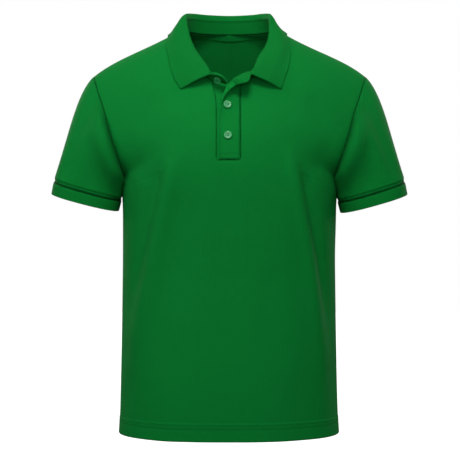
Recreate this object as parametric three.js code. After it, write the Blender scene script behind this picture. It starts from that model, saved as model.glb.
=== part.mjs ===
// A short-sleeved polo shirt of pique knit, hollow and worn, as it hangs on a wearer's shoulders.
// Millimetres, +Z up, the front faces -Y, +X is the wearer's left.
// The origin is in the middle of the neck, level with the top of the shoulder seams.
import * as THREE from "three";

// ---- sizes of the garment ----
const HEM_Z = -727.5; // the level bottom edge
const HEM_DEPTH = 22; // height of the turned-up hem
const UNDERARM = [195, 4, -268];
const SHOULDER_TIP = [244, 4, -89];
const NECK_SIDE = [84, 0, -3]; // where the shoulder seam meets the neck seam
const SLIT_Z = -245.6; // bottom of the slit in the front
const SLIT_RIGHT = -22; // edges of the slit, wearer's right and left
const SLIT_LEFT = 18.6;
const CLOTH = 1.3; // body cloth
const HEM_CLOTH = 2.2; // the hem is two layers
const BAND = 2; // collar, stand, plackets and cuffs
const TAPE = 1.2;
const SEAM = 0.16; // each piece stops this far short of its seam line
const CUFF_GAP = 0.3;
const BUTTON_D = 13.8;
const BUTTON_T = 2.4;

// ---- small tools ----
const vec = (x, y, z) => new THREE.Vector3(x, y, z);
const at = (p) => vec(p[0], p[1], p[2]);
const mix = (a, b, t) => a + (b - a) * t;
const span = (n) => Array.from({ length: n + 1 }, (_, i) => i / n);
const smooth = (e0, e1, x) => {
  const t = Math.min(1, Math.max(0, (x - e0) / (e1 - e0)));
  return t * t * (3 - 2 * t);
};

// A smooth curve through the rows of a table: the first column is the place, the others are values.
function table(rows) {
  const n = rows.length;
  const slope = (i, k) => {
    const a = rows[Math.max(0, i - 1)], b = rows[Math.min(n - 1, i + 1)];
    return (b[k] - a[k]) / (b[0] - a[0]);
  };
  return (x) => {
    let i = 0;
    while (i < n - 2 && x > rows[i + 1][0]) i++;
    const a = rows[i], b = rows[i + 1], h = b[0] - a[0];
    const t = Math.min(1, Math.max(0, (x - a[0]) / h)), t2 = t * t, t3 = t2 * t;
    return a.slice(1).map((v, k) =>
      (2 * t3 - 3 * t2 + 1) * v + (t3 - 2 * t2 + t) * h * slope(i, k + 1) +
      (3 * t2 - 2 * t3) * b[k + 1] + (t3 - t2) * h * slope(i + 1, k + 1));
  };
}

// A table whose place column is the length along its own points, from 0 to 1.
function path(points) {
  const rows = [[0, ...points[0]]];
  for (let i = 1; i < points.length; i++)
    rows.push([rows[i - 1][0] + at(points[i]).distanceTo(at(points[i - 1])), ...points[i]]);
  const total = rows[rows.length - 1][0];
  return table(rows.map((r) => [r[0] / total, ...r.slice(1)]));
}

function bezier(p0, h0, h1, p1, t) {
  const s = 1 - t, a = s * s * s, b = 3 * s * s * t, c = 3 * s * t * t, d = t * t * t;
  return [0, 1, 2].map((k) =>
    a * p0[k] + b * (p0[k] + h0[k]) + c * (p1[k] - h1[k]) + d * p1[k]);
}

// ---- the lines of the body, wearer's left half ----
// centre front and centre back: height, depth
const FRONT_LINE = table([
  [-727.5, -118], [-640, -120], [-540, -119], [-440, -119], [-340, -124], [-260, -128],
  [-205, -123], [-160, -108], [-130, -94], [-109, -84],
]);
const BACK_LINE = table([
  [-727.5, 120], [-620, 118], [-500, 113], [-400, 113], [-300, 120], [-238, 124],
  [-180, 125], [-130, 119], [-80, 104], [-38, 86], [-3, 70],
]);
// the body hangs a little to the wearer's right
const askew = (side, z) => (side < 0 ? 1.2 : mix(1.2, -0.7, smooth(-330, -420, z)));
// side seam: height, half width, depth
const SIDE_LINE = table([
  [-727.5, 196.7, 2], [-688, 194.6, 2], [-626, 193, 2], [-554, 191.6, 2], [-482, 190.6, 3],
  [-410, 189.8, 3], [-340, 190.4, 4], [-300, 192.6, 4], [-268, 195, 4],
]);
// armhole, from the underarm up to the shoulder tip
const ARMHOLE_FRONT = path([
  UNDERARM, [193, -20, -267], [192.2, -40, -259], [195.8, -54, -242], [206.6, -57, -206],
  [219.6, -44, -160.6], [229.2, -31, -134.5], [236.6, -19, -113], [241.6, -8, -98.5], SHOULDER_TIP,
]);
const ARMHOLE_BACK = path([
  UNDERARM, [194.6, 24, -267], [196, 44, -258], [201.5, 58, -238], [210, 62, -204],
  [221, 53, -168], [231, 40, -138], [238, 27, -115], [242.4, 15.5, -98.5], SHOULDER_TIP,
]);
// neck seam, from the slit to the shoulder seam, and from the centre back to the shoulder seam
const NECK_FRONT_LEFT = path([
  [SLIT_LEFT, -84, -109], [30, -81, -104.5], [42, -75, -97], [57, -64, -82],
  [70, -49, -62], [79, -33, -40.5], [83, -17, -19.5], NECK_SIDE,
]);
const NECK_FRONT_RIGHT = path([
  [-30, -82, -107.6], [-36, -78.5, -102], [-44, -73.5, -95], [-57, -64, -82],
  [-70, -49, -62], [-79, -33, -40.5], [-83, -17, -19.5], [-NECK_SIDE[0], NECK_SIDE[1], NECK_SIDE[2]],
]);
const NECK_BACK = path([
  [0, 70, -3], [22, 67.5, -3], [44, 60, -3.2], [62, 46.5, -3.6], [75, 29, -3.8],
  [82, 13, -3.4], NECK_SIDE,
]);

// How each row across a half panel leaves the middle and reaches the outside:
// place up the panel, handle at the middle (x, y, z), handle at the outside (x, y, z).
const FRONT_ROWS = table([
  [0.0, 108, 0, 0, 4, 68, 24],
  [0.22, 84, -2, 0, 36, 46, -4],
  [0.5, 62, -6, -5, 50, 26, -18],
  [0.62, 56, -10, -8, 52, 24, -24],
  [0.76, 46, -14, -11, 52, 20, -28],
  [0.88, 46, -12, -19, 50, 12, -33],
  [1.0, 50, -1, -33.5, 44, 2, -36],
]);
const BACK_ROWS = table([
  [0.0, 116, 0, 0, 4, -68, 24],
  [0.2, 96, 2, 0, 34, -46, -4],
  [0.45, 82, 6, -3, 48, -30, -16],
  [0.7, 66, 15, -8, 54, -22, -34],
  [0.85, 47, 14, -18, 52, -13, -38],
  [1.0, 50, -1, -33.5, 44, 2, -36],
]);
// Below the underarm: height, share of the width and of the depth that the two handles take.
const GIRTH = table([
  [-727.5, 0.6, 0.6], [-600, 0.6, 0.62], [-420, 0.62, 0.62], [-268, 0.62, 0.6],
]);

// Soft folds of the body: path as (x, z) pairs, half width, height out of the cloth.
const FRONT_FOLDS = [
  { path: [[-102, -262], [-124, -340], [-148, -440], [-170, -556]], wide: 19, high: 4.2 },
  { path: [[-120, -276], [-146, -360], [-176, -470]], wide: 17, high: -3.4 },
  { path: [[-62, -330], [-72, -420], [-96, -540]], wide: 30, high: -3 },
  { path: [[112, -250], [128, -330], [150, -450], [168, -560]], wide: 15, high: 3.6 },
  { path: [[136, -276], [158, -380], [176, -500], [184, -580]], wide: 17, high: -3.6 },
  { path: [[60, -420], [72, -540], [84, -660]], wide: 34, high: -2 },
  { path: [[-168, -214], [-150, -250], [-120, -276]], wide: 16, high: -2.6 },
  { path: [[172, -214], [152, -244], [118, -258]], wide: 15, high: -2.2 },
  { path: [[-110, -640], [-104, -728]], wide: 26, high: 2.2 },
  { path: [[128, -630], [122, -728]], wide: 30, high: -2 },
];
const BACK_FOLDS = [
  { path: [[-96, -250], [-122, -350], [-142, -470], [-158, -590]], wide: 20, high: 3.8 },
  { path: [[-128, -270], [-152, -380], [-172, -500]], wide: 18, high: -3.2 },
  { path: [[102, -246], [124, -340], [148, -470], [162, -600]], wide: 19, high: 3.6 },
  { path: [[134, -280], [158, -400], [176, -520]], wide: 18, high: -3.4 },
  { path: [[-30, -430], [-44, -560], [-52, -690]], wide: 34, high: -2.4 },
  { path: [[48, -400], [62, -540], [66, -690]], wide: 32, high: 2.2 },
];

// The height of the folds at a place (x, z): a bell across each path, fading out at both ends.
function foldHeight(folds, x, z) {
  let sum = 0;
  for (const fold of folds) {
    const p = fold.path;
    let best = 1e9, along = 0;
    for (let i = 0; i < p.length - 1; i++) {
      const dx = p[i + 1][0] - p[i][0], dz = p[i + 1][1] - p[i][1];
      const raw = ((x - p[i][0]) * dx + (z - p[i][1]) * dz) / (dx * dx + dz * dz);
      const t = Math.min(1, Math.max(0, raw));
      const d = Math.hypot(x - p[i][0] - t * dx, z - p[i][1] - t * dz);
      if (d < best) { best = d; along = (i + t) / (p.length - 1); }
    }
    const fade = smooth(0, 0.3, along + 0.12) * (1 - 0.55 * smooth(0.6, 1, along));
    sum += fold.high * fade * Math.exp(-((best / fold.wide) ** 2));
  }
  return sum;
}

// A point of the front panel: side +1 is the wearer's left. v runs 0..1 from the hem to the slit's
// foot and 1..2 from there to the shoulder seam, u runs 0..1 from the middle to the outside.
const SLIT_FLARE = table([[-245.6, 0], [-160, 0], [-136, -1.6], [-121, -4.8], [-107.6, -8]]);
// depth of the slit's edge on the wearer's right, where the neck stands open
const rightDepth = (z) => mix(FRONT_LINE(z)[0], -82, smooth(-135, -107.6, z));
function frontPoint(side, v, u) {
  const slit = side > 0 ? SLIT_LEFT : SLIT_RIGHT;
  let inner, outer, h0, h1;
  if (v <= 1) {
    const zi = mix(HEM_Z, SLIT_Z, v), zo = mix(HEM_Z, UNDERARM[2], v);
    const [w, d] = SIDE_LINE(zo), [ga, gb] = GIRTH(zo), fade = 1 - smooth(0.75, 1, v);
    inner = [slit, FRONT_LINE(zi)[0], zi];
    outer = [side * (w + fade * askew(side, zo)), d, zo];
    h0 = [side * ga * (w - Math.abs(slit)), 0, 0];
    h1 = [side * mix(0, 4, smooth(0.7, 1, v)), gb * (d - inner[1]), mix(0, 24, smooth(0.7, 1, v))];
  } else {
    const w = v - 1, half = 0.5;
    if (w < half) {
      const top = side > 0 ? -109 : -107.6, z = mix(SLIT_Z, top, w / half);
      inner = side > 0 ? [slit, FRONT_LINE(z)[0], z] : [slit + SLIT_FLARE(z)[0], rightDepth(z), z];
    } else inner = (side > 0 ? NECK_FRONT_LEFT : NECK_FRONT_RIGHT)((w - half) / (1 - half));
    const o = ARMHOLE_FRONT(w), h = FRONT_ROWS(w);
    outer = [side * o[0], o[1], o[2]];
    h0 = [side * h[0], h[1], h[2] - (side > 0 ? 3 * w ** 4 : 0)];
    h1 = [side * h[3], h[4], h[5]];
  }
  return bezier(inner, h0, h1, outer, u);
}
function backPoint(side, v, u) {
  let inner, outer, h0, h1;
  if (v <= 1) {
    const zi = mix(HEM_Z, -238, v), zo = mix(HEM_Z, UNDERARM[2], v);
    const [w, d] = SIDE_LINE(zo), [ga, gb] = GIRTH(zo), fade = 1 - smooth(0.75, 1, v);
    inner = [0, BACK_LINE(zi)[0], zi];
    outer = [side * (w + fade * askew(side, zo)), d, zo];
    h0 = [side * ga * w, 0, 0];
    h1 = [side * mix(0, 4, smooth(0.7, 1, v)), gb * (d - inner[1]), mix(0, 24, smooth(0.7, 1, v))];
  } else {
    const w = v - 1, corner = 0.68;
    if (w < corner) {
      const z = mix(-238, -3, w / corner);
      inner = [0, BACK_LINE(z)[0], z];
    } else {
      const n = NECK_BACK((w - corner) / (1 - corner));
      inner = [side * n[0], n[1], n[2]];
    }
    const o = ARMHOLE_BACK(w), h = BACK_ROWS(w);
    outer = [side * o[0], o[1], o[2]];
    h0 = [side * h[0], h[1], h[2] - (side > 0 ? 3 * w ** 4 : 0)];
    h1 = [side * h[3], h[4], h[5]];
  }
  return bezier(inner, h0, h1, outer, u);
}

// ---- sleeves and cuffs ----
// The ring where sleeve and cuff meet and the open end of the cuff: centre, half width across and
// its tilt down towards the body, half depth and its tilt down towards the front (degrees).
const SLEEVE_RING = { c: [255.4, 1, -294.3], wide: 62.6, tilt: 15.8, deep: 50.5, dip: 6 };
const CUFF_TOP = { c: [255.5, 1, -294.6], wide: 61.8, tilt: 15.8, deep: 49.7, dip: 6 };
const CUFF_END = { c: [260.2, 1, -315.4], wide: 61, tilt: 14.6, deep: 50, dip: 6 };
// the wearer's left one hangs a little steeper and lower
const ringTurn = (side) => (side > 0 ? 1.2 : 0);
const ringDrop = (side) => (side > 0 ? 1.5 : -0.5);
// A point of a ring: f runs 0..1 from the body side over the front, the outside and the back.
function ringPoint(side, ring, f) {
  const a = 2 * Math.PI * f, rad = Math.PI / 180, tilt = (ring.tilt + ringTurn(side)) * rad;
  const across = -Math.cos(a) * ring.wide, deep = -Math.sin(a) * ring.deep;
  const full = 1 + 0.05 * Math.sin(2 * a) ** 2;
  return [
    side * (ring.c[0] + full * across * Math.cos(tilt)),
    ring.c[1] + full * deep * Math.cos(ring.dip * rad),
    ring.c[2] - ringDrop(side) + full * across * Math.sin(tilt) + full * deep * Math.sin(ring.dip * rad),
  ];
}
function armholePoint(side, f) {
  const p = f <= 0.5 ? ARMHOLE_FRONT(2 * f) : ARMHOLE_BACK(2 * (1 - f));
  return [side * p[0], p[1], p[2]];
}
// How the sleeve leaves the armhole and reaches its ring: place round the armhole, two handles.
const SLEEVE_ROWS = table([
  [0.0, 5, 0, -7, 1, 0, -16],
  [0.1, 14, -4, -13, 0, 0, -20],
  [0.22, 26, -7, -20, 13, 1, -34],
  [0.36, 31, -5, -24, 20, 2, -56],
  [0.5, 32, 0, -29, 26, 0, -78],
  [0.64, 31, 7, -24, 20, -2, -58],
  [0.78, 26, 8, -20, 13, -1, -34],
  [0.9, 14, 4, -13, 0, 0, -20],
  [1.0, 5, 0, -7, 1, 0, -16],
]);
// Folds of the sleeve: place round it, place down it, half widths of both, height.
const SLEEVE_FOLDS = [
  { f: 0.27, d: 0.3, wf: 0.07, wd: 0.34, high: -6 },
  { f: 0.37, d: 0.5, wf: 0.045, wd: 0.5, high: 2.6 },
  { f: 0.73, d: 0.3, wf: 0.07, wd: 0.34, high: -5 },
  { f: 0.63, d: 0.5, wf: 0.045, wd: 0.5, high: 2.2 },
  { f: 0.16, d: 0.55, wf: 0.05, wd: 0.4, high: 2.4 },
];
function sleeveHeight(f, d) {
  let sum = 0;
  for (const s of SLEEVE_FOLDS)
    sum += s.high * Math.exp(-(((f - s.f) / s.wf) ** 2) - ((d - s.d) / s.wd) ** 2);
  return sum * smooth(0, 0.12, d) * (1 - smooth(0.86, 1, d));
}
function sleevePoint(side, f, d) {
  const h = SLEEVE_ROWS(f);
  return bezier(armholePoint(side, f), [side * h[0], h[1], h[2]],
    [side * h[3], h[4], h[5]], ringPoint(side, SLEEVE_RING, f), d);
}

// ---- the neck: stand, leaf, plackets ----
// Cross-sections round the neck, from the centre back to the front, wearer's left half:
// top edge of the stand, crest of the roll, past the crest, middle of the leaf, edge of the leaf.
const LEAF = ["top", "crest", "over", "middle", "edge"];
const LEAF_SIDE = [
  { s: 0.0, top: [0, 66, 20.7], crest: [0, 68.5, 31], over: [0, 75, 27], middle: [0, 78.5, 3], edge: [0, 89, -26] },
  { s: 0.16, top: [39, 57.5, 20.5], crest: [40, 60, 31.2], over: [43, 66.5, 27], middle: [47, 72.5, 3], edge: [56.5, 84, -23.5] },
  { s: 0.3, top: [64, 38, 20], crest: [66, 40, 30.2], over: [71.5, 45, 26], middle: [81, 52, 4], edge: [95, 61.5, -17.8] },
  { s: 0.42, top: [76, 16, 17], crest: [78, 18, 26], over: [84.5, 20, 21.5], middle: [95.5, 22, 3.5], edge: [110.5, 24, -14.8] },
  { s: 0.5, top: [77.5, 2, 11.5], crest: [79, 4, 18.5], over: [86.5, 4, 15.8], middle: [98, 1, 1.5], edge: [113.5, -2, -13.8] },
  { s: 0.59, top: [75.5, -12, -7], crest: [76.2, -10, 0.5], over: [83.5, -12, -1.5], middle: [99, -18, -14], edge: [114.5, -21, -29] },
  { s: 0.68, top: [71, -28, -28], crest: [71, -26, -20.5], over: [78.5, -30, -22.5], middle: [95, -38, -36], edge: [112, -43, -52] },
  { s: 0.78, top: [62.5, -45, -50], crest: [62.5, -44, -43], over: [70, -50, -46], middle: [88, -58.5, -60], edge: [107, -63, -80] },
  { s: 0.87, top: [51, -60.5, -69], crest: [51, -61, -62.5], over: [58, -68, -66], middle: [77, -74, -82], edge: [100, -80, -103] },
];
const LEAF_FRONT_LEFT = [
  { s: 0.94, top: [44, -79, -84], crest: [45, -79, -78.5], over: [51, -84, -82], middle: [69, -86, -97], edge: [94.5, -86, -113.5] },
  { s: 1.0, top: [36.4, -99, -99.5], crest: [39, -99.5, -98], over: [45, -99, -100.5], middle: [64, -96, -109], edge: [89.5, -90, -120.5] },
];
const LEAF_FRONT_RIGHT = [
  { s: 0.94, top: [39.5, -77, -84], crest: [40, -78, -79], over: [46.5, -83, -83], middle: [65, -85, -97], edge: [92.5, -86, -113] },
  { s: 1.0, top: [32, -92, -98.8], crest: [34.5, -94, -97.5], over: [41, -95, -99.5], middle: [60, -94, -108], edge: [87, -90, -119.5] },
];
const leafTable = (front) => {
  const rows = [...LEAF_SIDE, ...front];
  const columns = {};
  for (const name of LEAF) {
    const own = rows.map((r) => [r.s, ...r[name]]);
    // level at the centre back, so that both halves meet smoothly
    columns[name] = table([[-0.16, -own[1][1], own[1][2], own[1][3]], ...own]);
  }
  return columns;
};
const LEAF_LEFT = leafTable(LEAF_FRONT_LEFT);
const LEAF_RIGHT = leafTable(LEAF_FRONT_RIGHT);
// A point of the leaf: s runs -1 (wearer's right end) .. 0 (centre back) .. 1, c runs 0..1 across.
// On the wearer's left the collar stands closer to the neck: how much, at each column of LEAF.
const LEFT_CLOSER = [5.5, 5.5, 8, 9, 8.5];
function leafPoint(s, c) {
  const side = s < 0 ? -1 : 1, columns = side < 0 ? LEAF_RIGHT : LEAF_LEFT, a = Math.abs(s);
  const closer = side < 0 ? 0 : smooth(0.1, 0.36, a) * (1 - smooth(0.5, 0.74, a));
  const rows = LEAF.map((name, i) => {
    const p = columns[name](a);
    return [[0, 0.14, 0.28, 0.62, 1][i], side * (p[0] - closer * LEFT_CLOSER[i]), p[1], p[2]];
  });
  return table(rows)(c);
}
// The neck seam: s as on the leaf, up to the edges of the slit.
function neckSeam(s) {
  const a = Math.abs(s), side = s < 0 ? -1 : 1;
  if (a <= 0.5) {
    const p = NECK_BACK(2 * a);
    return [side * p[0], p[1], p[2]];
  }
  return (side > 0 ? NECK_FRONT_LEFT : NECK_FRONT_RIGHT)(1 - 2 * (a - 0.5));
}

// The top placket laps over the other and its upper corner rolls outwards, unbuttoned.
// Each row across it: height at its seam, then x, distance in front of the chest, z of the
// two shaping points and of the free edge.
const TOP_PLACKET = table([
  [-245.3, 6.4, 0, -245.3, -5.4, 0, -245.3, -17.2, 0, -245.3],
  [-205, 6.4, 0, -205, -5.6, 0, -205, -17.4, 0, -205],
  [-172, 6.4, 0, -172, -6, 0, -171, -17.6, 0.4, -170],
  [-149, 4, 0.2, -147, -22, 3, -141, -11, 8.5, -142],
  [-128, 3, 0.6, -124, -14, 7, -112, 0.7, 16, -126],
  [-109.2, 9, 1.2, -106, -1, 12, -100, 11.2, 24, -117.7],
]);
const PLACKET_EDGE = 18.3;
const PLACKET_OUT = 0.4; // the top placket stands this far out of the cloth's own middle
const UNDER_IN = 2.25; // the lower one lies this far inside it
// the chest's depth at a height, moved out of the cloth by d
function chest(z, d) {
  const zz = Math.min(-109, z), slope = (FRONT_LINE(zz + 1)[0] - FRONT_LINE(zz - 1)[0]) / 2;
  return FRONT_LINE(zz)[0] - d * Math.hypot(1, slope);
}
function topPlacketPoint(b, a) {
  const z = mix(-245.3, -109.2, b), r = TOP_PLACKET(z);
  const p0 = [PLACKET_EDGE, chest(z, PLACKET_OUT), z];
  const p1 = [r[0], chest(z, PLACKET_OUT) - r[1], r[2]];
  const p2 = [r[3], chest(z, PLACKET_OUT) - r[4], r[5]];
  const p3 = [r[6], chest(z, PLACKET_OUT) - r[7], r[8]];
  const h0 = p1.map((v, k) => v - p0[k]), h1 = p3.map((v, k) => v - p2[k]);
  return bezier(p0, h0, h1, p3, a);
}
function underPlacketPoint(b, a) {
  const z = mix(-250, -108.5, b), flare = SLIT_FLARE(Math.min(-107.6, Math.max(-245.6, z)))[0];
  const slope = (rightDepth(z + 1) - rightDepth(z - 1)) / 2;
  return [mix(SLIT_RIGHT - 3 + flare, 11, a), rightDepth(z) + UNDER_IN * Math.hypot(1, slope),
    z + mix(0, -5.5 * smooth(-140, -108.5, z), a)];
}

// The stand past the edges of the slit, where the neck stands open. Each station: place along
// the end, seam, the point that the strip bends towards, top edge.
const STAND_END_LEFT = [
  { a: 0, bend: [24, -94, -86], top: [36.4, -99, -99.5] },
  { a: 0.35, bend: [18.5, -103, -92], top: [35.8, -107, -103.5] },
  { a: 0.7, bend: [17, -114, -103], top: [34.8, -114, -108.5] },
  { a: 1, bend: [22, -119, -115.5], top: [31.5, -119, -113.5] },
];
const STAND_END_RIGHT = [
  { a: 0, seam: [-30, -82, -107.6], bend: [-33, -88, -77], top: [-32, -92, -98.8] },
  { a: 0.33, seam: [-20.5, -84.5, -110.6], bend: [-20.5, -105, -87.5], top: [-20, -105, -100.5] },
  { a: 0.66, seam: [-11, -86, -112], bend: [-11, -107.5, -94], top: [-11, -108.5, -106] },
  { a: 1, seam: [-4.5, -86.5, -113], bend: [-4, -104, -107], top: [-4.5, -107.5, -115] },
];
const endTable = (rows, name) => table(rows.map((r) => [r.a, ...r[name]]));
const END = {
  leftBend: endTable(STAND_END_LEFT, "bend"), leftTop: endTable(STAND_END_LEFT, "top"),
  rightSeam: endTable(STAND_END_RIGHT, "seam"), rightBend: endTable(STAND_END_RIGHT, "bend"),
  rightTop: endTable(STAND_END_RIGHT, "top"),
};
// A point of the stand: s runs -2..-1 along the right end, -1..1 round the neck and 1..2 along the
// left end, which is the upper corner of the rolled placket. c runs 0..1 from the seam to the top.
function standPoint(s, c) {
  let seam, bend, top;
  if (s < -1) {
    seam = END.rightSeam(-s - 1); bend = END.rightBend(-s - 1); top = END.rightTop(-s - 1);
  } else if (s > 1) {
    seam = topPlacketPoint(1, s - 1); bend = END.leftBend(s - 1); top = END.leftTop(s - 1);
  } else {
    seam = neckSeam(s);
    top = leafPoint(s, 0);
    const end = s < 0 ? END.rightBend(0) : END.leftBend(0), k = smooth(0.92, 1, Math.abs(s));
    bend = [0, 1, 2].map((i) => mix((seam[i] + top[i]) / 2, end[i], k));
  }
  const a = (1 - c) ** 2, b = 2 * c * (1 - c), d = c * c;
  return [0, 1, 2].map((i) => a * seam[i] + b * bend[i] + d * top[i]);
}

// ---- cloth walls ----
// A sheet is a net of four-sided cells on the cloth's middle surface, seen from outside
// anticlockwise, and half its thickness at each point.
class Sheet {
  constructor(name, colour) {
    Object.assign(this, { name, colour, points: [], half: [], cells: [], keys: new Map() });
  }
  point(p, half) {
    const key = p.map((v) => Math.round(v * 500)).join();
    if (!this.keys.has(key)) {
      this.keys.set(key, this.points.length);
      this.points.push(at(p));
      this.half.push(half);
    }
    return this.keys.get(key);
  }
  // place(r, c) gives a point; flip turns the outside round.
  patch(rows, columns, place, half, flip = false) {
    const net = rows.map((r) => columns.map((c) =>
      this.point(place(r, c), typeof half === "number" ? half : half(r, c))));
    for (let i = 0; i + 1 < rows.length; i++)
      for (let j = 0; j + 1 < columns.length; j++) {
        const cell = [net[i][j], net[i][j + 1], net[i + 1][j + 1], net[i + 1][j]];
        this.cells.push(flip ? cell.reverse() : cell);
      }
    return this;
  }
  normals() {
    const sums = this.points.map(() => vec(0, 0, 0));
    for (const [a, b, c, d] of this.cells) {
      const p = this.points;
      const n = p[c].clone().sub(p[a]).cross(p[d].clone().sub(p[b]));
      for (const i of [a, b, c, d]) sums[i].add(n);
    }
    return sums.map((n) => n.normalize());
  }
}

// Gives every sheet its thickness. Where sheets share a seam, both end on the same slanted face.
function wallsOf(sheets) {
  const keyOf = (p) => [p.x, p.y, p.z].map((v) => Math.round(v * 50)).join();
  const meeting = new Map();
  for (const sheet of sheets) {
    sheet.n = sheet.normals();
    sheet.points.forEach((p, i) => {
      const key = keyOf(p);
      if (!meeting.has(key)) meeting.set(key, vec(0, 0, 0));
      meeting.get(key).add(sheet.n[i]);
    });
  }
  return sheets.map((sheet) => {
    const { points, cells, half, n } = sheet;
    const edges = new Set();
    for (const cell of cells)
      cell.forEach((a, i) => edges.add(a + "," + cell[(i + 1) % 4]));
    const rim = [];
    for (const e of edges) {
      const [a, b] = e.split(",").map(Number);
      if (!edges.has(b + "," + a)) rim.push([a, b]);
    }
    // directions from the rim into the cloth
    const into = new Map();
    for (const [a, b] of rim) {
      const way = points[b].clone().sub(points[a]).normalize();
      for (const i of [a, b]) {
        const dir = n[i].clone().cross(way).normalize();
        if (into.has(i)) {
          const other = into.get(i), k = Math.max(0.25, 1 + other.dot(dir));
          into.set(i, other.add(dir).divideScalar(k));
        } else into.set(i, dir);
      }
    }
    const outer = [], inner = [];
    points.forEach((p, i) => {
      const mid = into.has(i) ? p.clone().addScaledVector(into.get(i), SEAM) : p.clone();
      const m = into.has(i) ? meeting.get(keyOf(p)).clone().normalize() : n[i].clone();
      m.multiplyScalar(half[i] / Math.max(0.3, m.dot(n[i])));
      outer.push(mid.clone().add(m));
      inner.push(mid.clone().sub(m));
    });
    const all = [...outer, ...inner], N = points.length, faces = [];
    const quad = (a, b, c, d) => {
      // the shorter diagonal
      if (all[a].distanceTo(all[c]) <= all[b].distanceTo(all[d])) faces.push(a, b, c, a, c, d);
      else faces.push(a, b, d, b, c, d);
    };
    for (const [a, b, c, d] of cells) {
      quad(a, b, c, d);
      quad(N + d, N + c, N + b, N + a);
    }
    for (const [a, b] of rim) quad(b, a, N + a, N + b);
    const g = new THREE.BufferGeometry();
    g.setAttribute("position", new THREE.Float32BufferAttribute(all.flatMap((p) => p.toArray()), 3));
    g.setIndex(faces);
    g.computeVertexNormals();
    const look = new THREE.MeshStandardMaterial({ color: sheet.colour, roughness: 0.9, metalness: 0 });
    const mesh = new THREE.Mesh(g, look);
    mesh.name = sheet.name;
    return mesh;
  });
}

// The direction out of a surface given by two parameters.
function outward(place, r, c, flip) {
  const e = 1e-3, dr = at(place(r + e, c)).sub(at(place(r - e, c)));
  const dc = at(place(r, c + e)).sub(at(place(r, c - e)));
  const n = dc.cross(dr).normalize();
  return flip ? n.negate() : n;
}
const moved = (p, n, d) => [p[0] + n.x * d, p[1] + n.y * d, p[2] + n.z * d];

// ---- the pieces ----
const GREEN = 0x0f7032, RIB = 0x0e6a30, BUTTON = 0x2f9a5b;
const UPPER = 8; // rows beside the slit or the centre back, and as many along each neck seam
const HEM_ROW = HEM_DEPTH / (UNDERARM[2] - HEM_Z);
const LOWER_ROWS = [0, HEM_ROW, HEM_ROW + 0.003, ...span(13).map((t) => mix(0.1, 1, t))];
const ACROSS = [0, 0.1, 0.2, 0.3, 0.4, 0.5, 0.6, 0.7, 0.79, 0.87, 0.94, 1];
const upperRows = (corner) =>
  [...span(UPPER).map((t) => 1 + corner * t), ...span(UPPER).slice(1).map((t) => 1 + mix(corner, 1, t))];
const FRONT_UPPER = upperRows(0.5), BACK_UPPER = upperRows(0.68);
const bodyHalf = (v) => (v <= HEM_ROW + 1e-6 ? HEM_CLOTH : CLOTH) / 2;

// the body's cloth with its folds, which die out towards every seam
function folded(place, folds, side, v, u, middle) {
  const p = place(side, v, u), calm = 1 - smooth(0.82, 0.98, u) * (v > 0.9 ? 1 : 0.85);
  const seam = u >= 1 ? 0 : calm * (middle ? 1 : smooth(0, 0.15, u)) * (1 - smooth(1.6, 1.95, v));
  const high = foldHeight(folds, p[0], p[2]) * seam;
  if (Math.abs(high) < 0.02) return p;
  const n = outward((r, c) => place(side, r, c), Math.max(0.002, v), Math.max(0.002, u), side < 0);
  return moved(p, n, place === frontPoint ? high : -high);
}
const frontCloth = (side, v, u) => folded(frontPoint, FRONT_FOLDS, side, v, u, false);
const backCloth = (side, v, u) => folded(backPoint, BACK_FOLDS, side, v, u, true);

const front = new Sheet("front", GREEN);
for (const side of [1, -1])
  front.patch([...LOWER_ROWS, ...FRONT_UPPER.slice(1)], ACROSS,
    (v, u) => frontCloth(side, v, u), bodyHalf, side < 0);
front.patch(LOWER_ROWS, span(3), (v, t) => {
  const a = frontPoint(-1, v, 0), b = frontPoint(1, v, 0);
  return a.map((x, k) => mix(x, b[k], t));
}, bodyHalf);

const back = new Sheet("back", GREEN);
for (const side of [1, -1])
  back.patch([...LOWER_ROWS, ...BACK_UPPER.slice(1)], ACROSS,
    (v, u) => backCloth(side, v, u), bodyHalf, side > 0);

const ROUND = [...FRONT_UPPER.map((v) => (v - 1) / 2),
  ...BACK_UPPER.slice(0, -1).reverse().map((v) => 1 - (v - 1) / 2)];
const DOWN = [0, 0.1, 0.21, 0.33, 0.45, 0.57, 0.69, 0.8, 0.91, 1];
function sleeveCloth(side, f, d) {
  const p = sleevePoint(side, f % 1, d), high = sleeveHeight(f, d);
  if (Math.abs(high) < 0.02 || d >= 1 || d <= 0) return p;
  const n = outward((r, c) => sleevePoint(side, (r + 1) % 1, c), f, d, side < 0);
  return moved(p, n, -high);
}
const sleeves = [1, -1].map((side) => new Sheet(side > 0 ? "sleeve_left" : "sleeve_right", GREEN)
  .patch(ROUND, DOWN, (f, d) => sleeveCloth(side, f === 1 ? 0 : f, d), CLOTH / 2, side < 0));
const cuffs = [1, -1].map((side) => new Sheet(side > 0 ? "cuff_left" : "cuff_right", RIB)
  .patch(ROUND, span(2), (f, t) => {
    const a = ringPoint(side, CUFF_TOP, f === 1 ? 0 : f), b = ringPoint(side, CUFF_END, f === 1 ? 0 : f);
    return a.map((x, k) => mix(x, b[k], t));
  }, BAND / 2, side < 0));

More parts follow.
